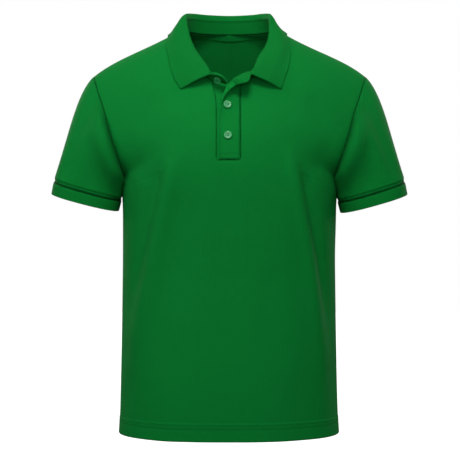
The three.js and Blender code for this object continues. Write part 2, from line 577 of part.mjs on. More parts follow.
const NECK_HALF = [...span(UPPER).map((t) => t / 2), ...span(UPPER).slice(1).map((t) => 0.5 + t / 2)];
const NECK = [...NECK_HALF.slice(1).reverse().map((s) => -s), ...NECK_HALF];
const ENDS = [0.2, 0.4, 0.6, 0.8, 1];
const STAND = [...ENDS.map((a) => -1 - a).reverse(), ...NECK, ...ENDS.map((a) => 1 + a)];
const stand = new Sheet("collar_stand", RIB)
  .patch(STAND, span(5), standPoint, BAND / 2, false);
const leaf = new Sheet("collar", RIB)
  .patch(NECK, [0, 0.07, 0.14, 0.21, 0.28, 0.42, 0.56, 0.7, 0.85, 1], leafPoint, BAND / 2, false);

const topPlacket = new Sheet("placket_top", GREEN)
  .patch([0, 0.15, 0.3, 0.45, 0.54, 0.62, 0.7, 0.78, 0.86, 0.93, 1], [0, ...ENDS],
    topPlacketPoint, BAND / 2, true);
const underPlacket = new Sheet("placket_under", GREEN)
  .patch(span(9), span(4), underPlacketPoint, BAND / 2, false);

// The place (r, c) on a surface nearest to a target, found in a few steps from a first guess.
function nearest(place, r, c, target, limits) {
  for (let i = 0; i < 30; i++) {
    const e = 1e-3, p = at(place(r, c)), gap = at(target).sub(p);
    const pr = at(place(r + e, c)).sub(p).divideScalar(e), pc = at(place(r, c + e)).sub(p).divideScalar(e);
    const a = pr.dot(pr), b = pr.dot(pc), d = pc.dot(pc), det = a * d - b * b;
    const gr = pr.dot(gap), gc = pc.dot(gap);
    r = Math.min(limits[0], Math.max(limits[1], r + 0.7 * (gr * d - gc * b) / det));
    c = Math.min(limits[2], Math.max(limits[3], c + 0.7 * (gc * a - gr * b) / det));
  }
  return [r, c];
}
// The tape follows the inside of the back, a little below the neck seam.
const TAPE_DROP = 15;
function tapePoint(s, t) {
  const side = s < 0 ? -1 : 1, q = Math.min(1, 2 * Math.abs(s)), d = mix(2.2, TAPE_DROP, t);
  const place = (r, c) => backPoint(side, Math.min(2, r), Math.max(0, c)), v = 1 + mix(0.68, 1, q);
  const along = at(neckSeam(s + 0.01)).sub(at(neckSeam(s - 0.01))).normalize();
  const n0 = outward(place, Math.min(1.99, v), 0.02, side < 0);
  const down = n0.clone().cross(along).normalize();
  if (down.z > 0 && q < 0.9) down.negate();
  if (down.dot(vec(side, 1, -1)) < 0) down.negate();
  const target = moved(neckSeam(s), down, d);
  const [r, c] = nearest(place, Math.min(1.98, v), d * q / 160, target, [1.998, 1.3, 0.4, 0]);
  const n = outward(place, Math.min(r, 1.998), Math.max(c, 0.002), side < 0);
  return moved(place(r, c), n, CLOTH / 2 + 0.55 + TAPE / 2);
}
const tape = new Sheet("neck_tape", GREEN)
  .patch(span(2 * UPPER).map((t) => t - 0.5), span(2), tapePoint, TAPE / 2, false);

// ---- buttons: round discs with four holes, lying on the cloth ----
function buttonAt(name, place, x, z, lift) {
  const shape = new THREE.Shape().absarc(0, 0, BUTTON_D / 2 - 0.4, 0, 2 * Math.PI);
  for (const [hx, hy] of [[1, 1], [-1, 1], [-1, -1], [1, -1]]) {
    const round = span(6).slice(0, 6).map((t) => new THREE.Vector2(
      1.4 * hx + 0.95 * Math.cos(2 * Math.PI * t), 1.4 * hy - 0.95 * Math.sin(2 * Math.PI * t)));
    shape.holes.push(new THREE.Path(round));
  }
  const g = new THREE.ExtrudeGeometry(shape, {
    depth: BUTTON_T - 0.8, bevelEnabled: true, bevelThickness: 0.4, bevelSize: 0.4,
    bevelSegments: 1, curveSegments: 10, steps: 1,
  });
  // the place on the surface that has this x and z
  let r = 0.5, c = 0.5;
  for (let i = 0; i < 40; i++) {
    const e = 1e-3, p = place(r, c), pr = place(r + e, c), pc = place(r, c + e);
    const a = (pr[0] - p[0]) / e, b = (pc[0] - p[0]) / e;
    const d = (pr[2] - p[2]) / e, f = (pc[2] - p[2]) / e, det = a * f - b * d;
    const ex = x - p[0], ez = z - p[2];
    r = Math.min(0.999, Math.max(0.001, r + 0.6 * (ex * f - ez * b) / det));
    c = Math.min(0.999, Math.max(0.001, c + 0.6 * (ez * a - ex * d) / det));
  }
  const n = outward(place, r, c, false);
  if (n.y > 0) n.negate();
  const seat = at(place(r, c)).addScaledVector(n, BAND / 2 + lift);
  const mesh = new THREE.Mesh(g, new THREE.MeshStandardMaterial({ color: BUTTON, roughness: 0.3 }));
  mesh.name = name;
  mesh.quaternion.setFromUnitVectors(vec(0, 0, 1), n);
  mesh.position.copy(seat.addScaledVector(n, 0.4));
  return mesh;
}
const standEnd = (r, c) => standPoint(-2 + r, c);
const buttons = [
  buttonAt("button_neck", standEnd, -19.4, -105.8, 1.2),
  buttonAt("button_upper", topPlacketPoint, -3.5, -151, 0.35),
  buttonAt("button_lower", topPlacketPoint, -2.5, -204.4, 0.35),
];

const polo = new THREE.Group();
polo.name = "polo_shirt";
polo.add(...wallsOf([front, back, ...sleeves, ...cuffs, stand, leaf, topPlacket, underPlacket, tape]));
polo.add(...buttons);

export default polo;
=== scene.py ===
# %% [markdown]
# # A short-sleeved polo shirt
# The shirt keeps the round, open form that a wearer's shoulders give it, with nobody inside.
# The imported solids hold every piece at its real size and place. This lesson dresses them: each
# piece of cloth becomes a fine net of cells with the creases, seams and stitching that are too
# small for the solids, and each finish is worked out from what the real one is made of.

# %% Load the frame
import math
import bpy
import numpy as np
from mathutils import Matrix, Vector
from mathutils.kdtree import KDTree


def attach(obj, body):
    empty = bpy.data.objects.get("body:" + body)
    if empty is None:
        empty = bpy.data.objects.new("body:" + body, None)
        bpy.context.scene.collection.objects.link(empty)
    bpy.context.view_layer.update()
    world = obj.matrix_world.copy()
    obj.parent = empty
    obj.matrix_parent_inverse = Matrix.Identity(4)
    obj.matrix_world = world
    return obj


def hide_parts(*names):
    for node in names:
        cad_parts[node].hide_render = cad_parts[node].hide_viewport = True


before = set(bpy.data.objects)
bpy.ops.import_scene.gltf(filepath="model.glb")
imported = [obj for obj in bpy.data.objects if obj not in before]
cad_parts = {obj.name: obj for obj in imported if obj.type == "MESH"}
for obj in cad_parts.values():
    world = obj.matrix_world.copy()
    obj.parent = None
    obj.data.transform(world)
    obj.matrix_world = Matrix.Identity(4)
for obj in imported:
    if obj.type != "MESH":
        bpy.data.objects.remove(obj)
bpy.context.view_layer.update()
MM = 0.001  # Blender works in metres, and the shirt's sizes below are in millimetres
print("solids:", ", ".join(sorted(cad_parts)))

# %% [markdown]
# ## Camera
# A shop picture is taken from a few metres away with a long lens, level with the middle of the
# shirt, so that nothing looks stretched. The lens follows from the width that the picture takes
# in at that distance.

# %% Camera
CAMERA_DISTANCE = 2.2
VIEW_WIDTH = 0.828
CAMERA_X, CAMERA_Z = 0.0009, -0.3654
SENSOR_WIDTH = 36.0

camera = bpy.data.objects.new("camera", bpy.data.cameras.new("camera"))
camera.data.sensor_width = SENSOR_WIDTH
camera.data.lens = SENSOR_WIDTH * CAMERA_DISTANCE / VIEW_WIDTH
camera.location = (CAMERA_X, -CAMERA_DISTANCE, CAMERA_Z)
camera.rotation_euler = (math.radians(90), 0, 0)
bpy.context.scene.collection.objects.link(camera)
bpy.context.scene.camera = camera
print("lens:", round(camera.data.lens, 2), "mm")

# %% [markdown]
# ## Colours and nodes
# Cloth colours are read as sRGB hex, as a dye card gives them, and Blender mixes light in linear
# numbers, so one function turns one into the other. Another adds a shader node with its settings
# and its links in one line, so that a material reads as a list of steps.

# %% Colour and node helpers
def linear(colour):
    """An sRGB colour 0xRRGGBB as linear red, green, blue and alpha."""
    parts = [(colour >> shift & 255) / 255 for shift in (16, 8, 0)]
    return [c / 12.92 if c <= 0.04045 else ((c + 0.055) / 1.055) ** 2.4 for c in parts] + [1]


def node(tree, kind, inputs=None, **settings):
    """Adds one shader node. An input is a number, a colour, or the socket that it is linked to."""
    made = tree.nodes.new("ShaderNode" + kind)
    for name, value in settings.items():
        setattr(made, name, value)
    for name, value in (inputs or {}).items():
        if isinstance(value, bpy.types.NodeSocket):
            tree.links.new(value, made.inputs[name])
        else:
            made.inputs[name].default_value = value
    return made


def material(name):
    """An empty material: its tree, and the shader that its nodes lead to."""
    made = bpy.data.materials.new(name)
    made.use_nodes = True
    return made, made.node_tree, made.node_tree.nodes["Principled BSDF"]

# %% [markdown]
# ## Studio
# The picture shows the shirt on plain white, lit softly from the upper left. A pale floor lies
# as far below the shoulders as a wearer's feet would be. The sky acts as a wall of soft boxes:
# its light is strongest from the upper left and the front, and weak from below, while the
# camera sees it as plain white. A lamp above gives the shade under the collar, one at the left
# picks out the folds, and one beside the camera reaches into the neck. Two lamps behind light the
# back of the shirt, and give the front a thin bright outline.

# %% Studio
FLOOR_DROP = 1.45
FLOOR_RADIUS = 14.0
KEY_DIRECTION = Vector((0.03, -0.6, 0.6)).normalized()
SKY_WEAK, SKY_STRONG = 0.04, 0.5
SKY_FROM, SKY_TO = -0.45, 0.55  # cosines to the key direction at which the sky is weak and strong
WHITE_PAINT = 0xFAFAFA

world = bpy.data.worlds.new("soft_box_sky")
world.use_nodes = True
tree = world.node_tree
direction = node(tree, "TexCoord")
towards_key = node(tree, "VectorMath", {0: direction.outputs["Generated"], 1: KEY_DIRECTION},
                   operation="DOT_PRODUCT")
sky_light = node(tree, "MapRange", {
    "Value": towards_key.outputs["Value"], "From Min": SKY_FROM, "From Max": SKY_TO,
    "To Min": SKY_WEAK, "To Max": SKY_STRONG,
}, interpolation_type="SMOOTHSTEP")
camera_ray = node(tree, "LightPath").outputs["Is Camera Ray"]
seen = node(tree, "Mix", {"Factor": camera_ray, "A": sky_light.outputs[0], "B": 1.0})
tree.nodes["Background"].inputs["Color"].default_value = (1, 1, 1, 1)
tree.links.new(seen.outputs["Result"], tree.nodes["Background"].inputs["Strength"])
bpy.context.scene.world = world
bpy.context.scene.view_settings.view_transform = "Standard"  # white stays white

white_paint, tree, shader = material("matt_white_paint")
roller_marks = node(tree, "TexNoise", {"Scale": 35.0, "Detail": 3.0})
shader.inputs["Base Color"].default_value = linear(WHITE_PAINT)
shader.inputs["Roughness"].default_value = 0.9
shader.inputs["Emission Color"].default_value = (1, 1, 1, 1)
shader.inputs["Emission Strength"].default_value = 0.85
paint_bump = node(tree, "Bump", {"Height": roller_marks.outputs["Fac"], "Strength": 0.1,
                                 "Distance": 0.5 * MM})
tree.links.new(paint_bump.outputs["Normal"], shader.inputs["Normal"])

bpy.ops.mesh.primitive_circle_add(vertices=96, radius=FLOOR_RADIUS, fill_type="NGON",
                                  location=(0, 0, -FLOOR_DROP))
floor = bpy.context.object
floor.name = "floor"
floor.data.materials.append(white_paint)
floor.visible_diffuse = False  # it is seen, but adds no light from below
floor.visible_glossy = False


def soft_lamp(name, place, aim, size, watts):
    """A square lamp that faces its aim."""
    lamp = bpy.data.objects.new(name, bpy.data.lights.new(name, "AREA"))
    lamp.data.size = size
    lamp.data.energy = watts
    lamp.location = place
    lamp.rotation_euler = (Vector(aim) - Vector(place)).to_track_quat("-Z", "Y").to_euler()
    bpy.context.scene.collection.objects.link(lamp)


CHEST = (0, 0, -0.3)
soft_lamp("lamp_left", (-1.6, -0.8, 0.4), CHEST, 0.7, 10)
soft_lamp("lamp_front_above", (0.0, -0.95, 0.95), CHEST, 0.45, 18)
soft_lamp("lamp_front", (0.0, -2.4, -0.1), CHEST, 0.6, 12)
soft_lamp("lamp_back_left", (-1.5, 1.7, 0.7), CHEST, 0.9, 24)
soft_lamp("lamp_back_right", (1.7, 1.5, 0.5), CHEST, 0.9, 20)

# %% [markdown]
# ## Pique cotton
# The body and sleeves are pique: a knit whose loops are tucked so that small diamonds stand up
# between sunk lines. On a real shirt the diamonds are about 1.3 mm apart, and they are drawn at
# 1.5 mm, because a coarser grid beats with the picture's own pixels. The raised loops catch
# light and the sunk ones keep it, so one height pattern drives both colour and bump. Cotton is
# matt, and the loose fibres on it give a faint sheen at grazing angles.

# %% Pique cotton
PIQUE_PITCH = 1.5 * MM
PIQUE_RELIEF = 0.22 * MM
GREEN_LOOP, GREEN_SUNK, FIBRE_TINT = 0x0A702B, 0x075A22, 0x3FA868
# painted shade: the dark green drawn along the seams' sunk lines and in the armhole fold, and how strongly
# it is drawn
SEAM_SHADE_GREEN, SEAM_SHADE_STRENGTH = 0x021F0A, 0.8


def waves(tree, socket, pitch):
    """A cosine of the coordinate, one wave to each pitch."""
    turned = node(tree, "Math", {0: socket, 1: 2 * math.pi / pitch}, operation="MULTIPLY")
    return node(tree, "Math", {0: turned.outputs[0]}, operation="COSINE").outputs[0]


def cloth_finish(tree, shader, height, relief, loop, sunk, mottle_scale=60.0):
    """Colour, bump and sheen of a cotton knit from the height of its loops, which runs 0 to 1."""
    fibre = node(tree, "TexNoise", {"Scale": 2600.0, "Detail": 2.0})
    fuzzy = node(tree, "Math", {0: fibre.outputs["Fac"], 1: 0.5, 2: height}, operation="MULTIPLY_ADD")
    dye = node(tree, "TexNoise", {"Scale": mottle_scale, "Detail": 4.0, "Roughness": 0.6})
    tone = node(tree, "Math", {0: dye.outputs["Fac"], 1: 0.35, 2: fuzzy.outputs[0]},
                operation="MULTIPLY_ADD")
    share = node(tree, "MapRange", {"Value": tone.outputs[0], "From Min": 0.25, "From Max": 1.6})
    # painted light and shade: raised loops take the lighter green and sunk ones the darker, as light falls
    # on the knit
    knit = node(tree, "Mix", {"Factor": share.outputs[0], "A": linear(sunk), "B": linear(loop)},
                data_type="RGBA")
    # painted shade: the colour darkens towards a dark green along each seam's sunk line and stitch dent,
    # and deep in the fold behind the armhole, where shade falls
    painted_shade_mask = node(tree, "Attribute", attribute_name="seam").outputs["Fac"]
    painted_shade_share = node(tree, "Math", {0: painted_shade_mask, 1: SEAM_SHADE_STRENGTH}, operation="MULTIPLY", use_clamp=True)
    colour = node(tree, "Mix", {
        "Factor": painted_shade_share.outputs[0], "A": knit.outputs["Result"], "B": linear(SEAM_SHADE_GREEN),
    }, data_type="RGBA")
    bump = node(tree, "Bump", {"Height": fuzzy.outputs[0], "Strength": 0.8, "Distance": relief})
    tree.links.new(colour.outputs["Result"], shader.inputs["Base Color"])
    tree.links.new(bump.outputs["Normal"], shader.inputs["Normal"])
    shader.inputs["Roughness"].default_value = 0.88
    shader.inputs["Specular IOR Level"].default_value = 0.15
    shader.inputs["Specular Tint"].default_value = linear(loop)
    shader.inputs["Sheen Weight"].default_value = 0.05
    shader.inputs["Sheen Roughness"].default_value = 0.45
    shader.inputs["Sheen Tint"].default_value = linear(FIBRE_TINT)


pique, tree, shader = material("pique_cotton")
along = node(tree, "SeparateXYZ", {0: node(tree, "UVMap", uv_map="cloth").outputs["UV"]})
across_wave = waves(tree, along.outputs["X"], PIQUE_PITCH)
upward_wave = waves(tree, along.outputs["Y"], PIQUE_PITCH * 1.1)
both = node(tree, "Math", {0: across_wave, 1: upward_wave}, operation="ADD")
diamonds = node(tree, "MapRange", {"Value": both.outputs[0], "From Min": -1.4, "From Max": 1.6})
cloth_finish(tree, shader, diamonds.outputs[0], PIQUE_RELIEF, GREEN_LOOP, GREEN_SUNK)
print("pique:", len(tree.nodes), "nodes")

# %% [markdown]
# ## Ribbed cotton
# Collar, stand and cuffs are knitted flat as fine rib: columns of raised loops with a sunk line
# between, at right angles to the edge. Real ribs are about 1.5 mm apart and are drawn at 2.4 mm
# for the same reason as the pique. The dyed rib comes out a shade different from the body.

# %% Ribbed cotton
RIB_PITCH = 2.4 * MM
RIB_RELIEF = 0.2 * MM
RIB_LOOP, RIB_SUNK = 0x096827, 0x06541E

ribbed, tree, shader = material("ribbed_cotton")
along = node(tree, "SeparateXYZ", {0: node(tree, "UVMap", uv_map="cloth").outputs["UV"]})
ribs = node(tree, "MapRange", {"Value": waves(tree, along.outputs["X"], RIB_PITCH),
                               "From Min": -1.2, "From Max": 1.0})
courses = waves(tree, along.outputs["Y"], RIB_PITCH * 0.5)
knit = node(tree, "Math", {0: courses, 1: 0.12, 2: ribs.outputs[0]}, operation="MULTIPLY_ADD")
cloth_finish(tree, shader, knit.outputs[0], RIB_RELIEF, RIB_LOOP, RIB_SUNK)

# %% [markdown]
# ## Sewing thread and moulded buttons
# The thread is spun polyester, a little shinier than the cotton, with the twist of its plies
# drawn as slanting bands. The buttons are polyester resin, turned from sheet and polished, so
# they are smooth with a clear gloss and a faint cloud in the colour.

# %% Thread and button resin
thread, tree, shader = material("polyester_thread")
twist = node(tree, "TexWave", {"Scale": 700.0, "Distortion": 1.0}, bands_direction="DIAGONAL")
colour = node(tree, "Mix", {"Factor": twist.outputs["Fac"], "A": linear(0x04431A), "B": linear(0x075E26)},
              data_type="RGBA")
bump = node(tree, "Bump", {"Height": twist.outputs["Fac"], "Strength": 0.5, "Distance": 0.1 * MM})
tree.links.new(colour.outputs["Result"], shader.inputs["Base Color"])
tree.links.new(bump.outputs["Normal"], shader.inputs["Normal"])
shader.inputs["Roughness"].default_value = 0.6
shader.inputs["Specular IOR Level"].default_value = 0.2
shader.inputs["Specular Tint"].default_value = linear(0x2E8B4A)

resin, tree, shader = material("polyester_resin")
cloud = node(tree, "TexNoise", {"Scale": 320.0, "Detail": 3.0, "Distortion": 1.5})
colour = node(tree, "Mix", {"Factor": cloud.outputs["Fac"], "A": linear(0x14763A), "B": linear(0x22894C)},
              data_type="RGBA")
tree.links.new(colour.outputs["Result"], shader.inputs["Base Color"])
scratches = node(tree, "TexNoise", {"Scale": 1500.0, "Detail": 2.0})
haze = node(tree, "MapRange", {"Value": scratches.outputs["Fac"], "To Min": 0.34, "To Max": 0.5})
tree.links.new(haze.outputs[0], shader.inputs["Roughness"])
shader.inputs["IOR"].default_value = 1.55
shader.inputs["Coat Weight"].default_value = 0.1
shader.inputs["Coat Roughness"].default_value = 0.25

# %% [markdown]
# ## Smooth curves
# Every piece is a surface worked out from a few sections. A table gives the sections' values at
# some places, and a smooth curve runs through them. The functions take whole arrays of places,
# so that a net of thirty thousand points is worked out in one step.

# %% Curve helpers
def mix(a, b, t):
    return a + (b - a) * t


def smooth(start, end, x):
    t = np.clip((x - start) / (end - start), 0, 1)
    return t * t * (3 - 2 * t)


def point(x, y, z):
    return np.stack(np.broadcast_arrays(x, y, z), -1).astype(float)


def through(stops, values, x):
    """The smooth curve through values[k] at stops[k]. The values may differ from x to x."""
    x, stops, last = np.asarray(x, float), np.asarray(stops, float), len(stops) - 1
    order = np.arange(last + 1)
    before, after = np.maximum(order - 1, 0), np.minimum(order + 1, last)
    run = (stops[after] - stops[before]).reshape(-1, *[1] * (values.ndim - 1))
    slopes = (values[after] - values[before]) / run
    i = np.clip(np.searchsorted(stops, x) - 1, 0, last - 1)
    if values.ndim == 2:
        (a, b), (slope_a, slope_b) = [(v[i], v[i + 1]) for v in (values, slopes)]
    else:
        a, b, slope_a, slope_b = [np.take_along_axis(v, j[None, ..., None], 0)[0]
                                  for v in (values, slopes) for j in (i, i + 1)]
    h = (stops[i + 1] - stops[i])[..., None]
    t = np.clip((x - stops[i])[..., None] / h, 0, 1)
    return ((2 * t**3 - 3 * t**2 + 1) * a + (t**3 - 2 * t**2 + t) * h * slope_a
            + (3 * t**2 - 2 * t**3) * b + (t**3 - t**2) * h * slope_b)


def table(rows):
    """A curve from rows whose first column is the place."""
    rows = np.array(rows, float)
    return lambda x: through(rows[:, 0], rows[:, 1:], x)


def path(points):
    """A curve through points, its place being the share of its length, 0 to 1."""
    points = np.array(points, float)
    steps = np.linalg.norm(np.diff(points, axis=0), axis=1)
    place = np.concatenate([[0], np.cumsum(steps)])
    return lambda x: through(place / place[-1], points, x)


def bezier(p0, h0, h1, p1, t):
    """The curve from p0 to p1 that leaves along h0 and arrives along h1."""
    t = np.asarray(t, float)[..., None]
    s = 1 - t
    return s**3 * p0 + 3 * s**2 * t * (p0 + h0) + 3 * s * t**2 * (p1 - h1) + t**3 * p1


def lengths(net, axis):
    """Length along rows or columns of a net, from its first point."""
    steps = np.linalg.norm(np.diff(net, axis=axis), axis=-1)
    return np.insert(np.cumsum(steps, axis=axis), 0, 0, axis=axis)


def unit(a):
    return a / np.maximum(np.linalg.norm(a, axis=-1, keepdims=True), 1e-9)


def dot(a, b):
    return (a * b).sum(-1)

# %% [markdown]
# ## Lines of the body
# These are the shirt's own lines, the same as those of its solids: centre front and back, side
# seams, armholes and neckline, and how each row across a panel leaves the middle and reaches
# the outside. A maker would find them on the paper pattern.

# %% Lines of the body
HEM_Z = -727.5
UNDERARM = [195, 4, -268]
SHOULDER_TIP = [244, 4, -89]
NECK_SIDE = [84, 0, -3]
SLIT_Z, SLIT_RIGHT, SLIT_LEFT = -245.6, -22, 18.6
BACK_MIDDLE_Z = -238

FRONT_LINE = table([
    [-727.5, -118], [-640, -120], [-540, -119], [-440, -119], [-340, -124], [-260, -128],
    [-205, -123], [-160, -108], [-130, -94], [-109, -84],
])
BACK_LINE = table([
    [-727.5, 120], [-620, 118], [-500, 113], [-400, 113], [-300, 120], [-238, 124],
    [-180, 125], [-130, 119], [-80, 104], [-38, 86], [-3, 70],
])
SIDE_LINE = table([
    [-727.5, 196.7, 2], [-688, 194.6, 2], [-626, 193, 2], [-554, 191.6, 2], [-482, 190.6, 3],
    [-410, 189.8, 3], [-340, 190.4, 4], [-300, 192.6, 4], [-268, 195, 4],
])
ARMHOLE_FRONT = path([
    UNDERARM, [193, -20, -267], [192.2, -40, -259], [195.8, -54, -242], [206.6, -57, -206],
    [219.6, -44, -160.6], [229.2, -31, -134.5], [236.6, -19, -113], [241.6, -8, -98.5], SHOULDER_TIP,
])
ARMHOLE_BACK = path([
    UNDERARM, [194.6, 24, -267], [196, 44, -258], [201.5, 58, -238], [210, 62, -204],
    [221, 53, -168], [231, 40, -138], [238, 27, -115], [242.4, 15.5, -98.5], SHOULDER_TIP,
])
NECK_FRONT_LEFT = path([
    [SLIT_LEFT, -84, -109], [30, -81, -104.5], [42, -75, -97], [57, -64, -82],
    [70, -49, -62], [79, -33, -40.5], [83, -17, -19.5], NECK_SIDE,
])
NECK_FRONT_RIGHT = path([
    [-30, -82, -107.6], [-36, -78.5, -102], [-44, -73.5, -95], [-57, -64, -82],
    [-70, -49, -62], [-79, -33, -40.5], [-83, -17, -19.5], [-84, 0, -3],
])
NECK_BACK = path([
    [0, 70, -3], [22, 67.5, -3], [44, 60, -3.2], [62, 46.5, -3.6], [75, 29, -3.8],
    [82, 13, -3.4], NECK_SIDE,
])
# place up the panel, handle at the middle, handle at the outside
FRONT_ROWS = table([
    [0.0, 108, 0, 0, 4, 68, 24], [0.22, 84, -2, 0, 36, 46, -4], [0.5, 62, -6, -5, 50, 26, -18],
    [0.62, 56, -10, -8, 52, 24, -24], [0.76, 46, -14, -11, 52, 20, -28],
    [0.88, 46, -12, -19, 50, 12, -33], [1.0, 50, -1, -33.5, 44, 2, -36],
])
BACK_ROWS = table([
    [0.0, 116, 0, 0, 4, -68, 24], [0.2, 96, 2, 0, 34, -46, -4], [0.45, 82, 6, -3, 48, -30, -16],
    [0.7, 66, 15, -8, 54, -22, -34], [0.85, 47, 14, -18, 52, -13, -38],
    [1.0, 50, -1, -33.5, 44, 2, -36],
])
GIRTH = table([[-727.5, 0.6, 0.6], [-600, 0.6, 0.62], [-420, 0.62, 0.62], [-268, 0.62, 0.6]])
SLIT_FLARE = table([[-245.6, 0], [-160, 0], [-136, -1.6], [-121, -4.8], [-107.6, -8]])


def right_depth(z):
    """Depth of the slit's edge on the wearer's right, where the neck stands open."""
    return mix(FRONT_LINE(z)[..., 0], -82, smooth(-135, -107.6, z))

# %% [markdown]
# ## Front and back panels
# A panel is worked out row by row: each row is one curve from the middle of the body to the side
# seam or armhole. `v` counts 0 to 1 from the hem to the underarm and 1 to 2 on to the shoulder
# seam, and `u` counts 0 to 1 outwards.

# %% Panel surfaces
def body_row(side, v, middle_top, middle, slit):
    """Ends and handles of a row below the underarm."""
    zi, zo = mix(HEM_Z, middle_top, v), mix(HEM_Z, UNDERARM[2], v)
    (width, depth), (share_x, share_y) = [np.moveaxis(t(zo), -1, 0) for t in (SIDE_LINE, GIRTH)]
    # below the chest the wearer's left side hangs a little closer than the right one
    shift = 1.2 if side < 0 else mix(1.2, -0.7, smooth(-330, -420, zo))
    inner = point(slit, middle(zi)[..., 0], zi)
    outer = point(side * (width + (1 - smooth(0.75, 1, v)) * shift), depth, zo)
    rise = smooth(0.7, 1, v)
    h0 = point(side * share_x * (width - abs(slit)), 0, 0)
    h1 = point(side * 4 * rise, share_y * (depth - inner[..., 1]), 24 * rise)
    return inner, h0, h1, outer


def yoke_row(side, w, inner, armhole, handles):
    """Ends and handles of a row above the underarm."""
    h = handles(w)
    turned = np.array([side, 1, 1])
    h0, h1 = h[..., :3] * turned, h[..., 3:] * turned
    h0[..., 2] -= 3 * w**4 if side > 0 else 0  # the left shoulder seam leaves the neck lower
    return inner, h0, h1, armhole(w) * turned


def panel(v, u, below, above):
    """Points of a panel whose rows are one family below the underarm and another above it."""
    v, u = np.broadcast_arrays(np.asarray(v, float), np.asarray(u, float))
    low, high = below(np.minimum(v, 1)), above(np.clip(v - 1, 0, 1))
    ends = [np.where((v <= 1)[..., None], a, b) for a, b in zip(low, high)]
    return bezier(*ends, u)


def front_point(side, v, u):
    slit = SLIT_LEFT if side > 0 else SLIT_RIGHT

    def above(w):
        z = mix(SLIT_Z, -109 if side > 0 else -107.6, np.minimum(w / 0.5, 1))
        if side > 0:
            edge = point(slit, FRONT_LINE(z)[..., 0], z)
        else:
            edge = point(slit + SLIT_FLARE(z)[..., 0], right_depth(z), z)
        neck = (NECK_FRONT_LEFT if side > 0 else NECK_FRONT_RIGHT)(np.clip((w - 0.5) / 0.5, 0, 1))
        return yoke_row(side, w, np.where((w < 0.5)[..., None], edge, neck), ARMHOLE_FRONT, FRONT_ROWS)

    return panel(v, u, lambda v: body_row(side, v, SLIT_Z, FRONT_LINE, slit), above)


BACK_CORNER = 0.68  # share of the rows above the underarm at which the back's neckline starts


def back_point(side, v, u):
    def above(w):
        z = mix(BACK_MIDDLE_Z, -3, np.minimum(w / BACK_CORNER, 1))
        middle = point(0, BACK_LINE(z)[..., 0], z)
        neck = NECK_BACK(np.clip((w - BACK_CORNER) / (1 - BACK_CORNER), 0, 1)) * [side, 1, 1]
        inner = np.where((w < BACK_CORNER)[..., None], middle, neck)
        return yoke_row(side, w, inner, ARMHOLE_BACK, BACK_ROWS)

    return panel(v, u, lambda v: body_row(side, v, BACK_MIDDLE_Z, BACK_LINE, 0), above)

# %% [markdown]
# ## Creases of the body
# Worn pique hangs in long soft folds: they start under the arms, where the cloth is pushed
# together, and die out towards the hem. Each one is a soft ridge or trough along a path on the
# panel, higher in the middle of its length than at its ends, and no two have the same width,
# length or depth. The deep ones are in the solids too, and the small ones are only here.

# %% Creases of the body
# path as x and z pairs, half width, height out of the cloth
FRONT_CREASES = [
    ([(-92, -238), (-103, -280), (-117, -348), (-131, -417), (-145, -485), (-160, -556),
      (-176, -640), (-186, -740)], 17, 8.0),
    ([(-118, -262), (-126, -290), (-143, -348), (-155, -417), (-168, -485), (-182, -560)], 13, -6.0),
    ([(-70, -300), (-76, -400), (-98, -540)], 30, -3),
    ([(104, -238), (113, -280), (126, -348), (139, -417), (148, -486), (157, -557),
      (168, -640), (178, -740)], 13, 6.5),
    ([(124, -262), (133, -290), (145, -348), (158, -417), (167, -486), (176, -557),
      (186, -640)], 11, -7.0),
    ([(60, -420), (72, -540), (84, -660)], 34, -2),
    ([(-180, -190), (-166, -236), (-140, -272), (-128, -300)], 15, -1.2),
    ([(182, -190), (166, -236), (142, -270), (134, -300)], 15, -1.4),
    ([(-110, -600), (-104, -900)], 26, 2.2),
    ([(128, -600), (122, -900)], 30, -2),
    ([(-24, -256), (-30, -320), (-42, -410)], 15, 1.6),
]
BACK_CREASES = [
    ([(-96, -250), (-122, -350), (-142, -470), (-158, -590)], 18, 5.0),
    ([(-128, -270), (-150, -380), (-170, -500)], 13, -4.4),
    ([(102, -246), (124, -340), (148, -470), (162, -600)], 16, 4.8),
    ([(130, -280), (152, -400), (172, -520)], 13, -4.6),
    ([(-30, -430), (-44, -560), (-52, -690)], 34, -2.4),
    ([(48, -400), (62, -540), (66, -690)], 32, 2.2),
    ([(-182, -196), (-166, -244), (-134, -284)], 16, -2.4),
    ([(184, -200), (168, -240), (138, -280)], 16, -2.6),
    ([(-150, -96), (-70, -118), (0, -122), (80, -114), (150, -92)], 20, -1.6),
]
FINE_FRONT_CREASES = [
    ([(-190, -300), (-176, -330), (-168, -380)], 9, -1.0),
    ([(190, -306), (178, -336), (170, -380)], 9, -1.2),
    ([(-140, -130), (-156, -170), (-164, -210)], 14, -1.4),
    ([(142, -128), (160, -170), (168, -212)], 13, -1.8),
    ([(-118, -92), (-96, -128), (-92, -160)], 18, -1.2),
    ([(118, -92), (100, -130), (94, -166)], 18, -1.4),
    ([(30, -300), (34, -380), (46, -470)], 20, -1.2),
    ([(92, -300), (98, -380), (112, -480)], 18, 1.4),
    ([(-180, -560), (-174, -620), (-176, -690)], 12, -1.6),
    ([(178, -600), (180, -650), (176, -700)], 12, -1.8),
]
FINE_BACK_CREASES = [
    ([(-186, -250), (-164, -272), (-142, -290)], 8, -1.8),
    ([(188, -254), (166, -282), (144, -296)], 8, -1.6),
    ([(-140, -120), (-160, -170), (-168, -214)], 14, -1.8),
    ([(142, -124), (158, -168), (170, -210)], 14, -1.6),
    ([(-60, -250), (-66, -330), (-84, -420)], 22, -1.6),
    ([(66, -260), (70, -340), (88, -440)], 22, -1.4),
    ([(10, -280), (6, -380), (-4, -500)], 26, 1.4),
    ([(-176, -600), (-178, -650), (-172, -700)], 12, -1.6),
]


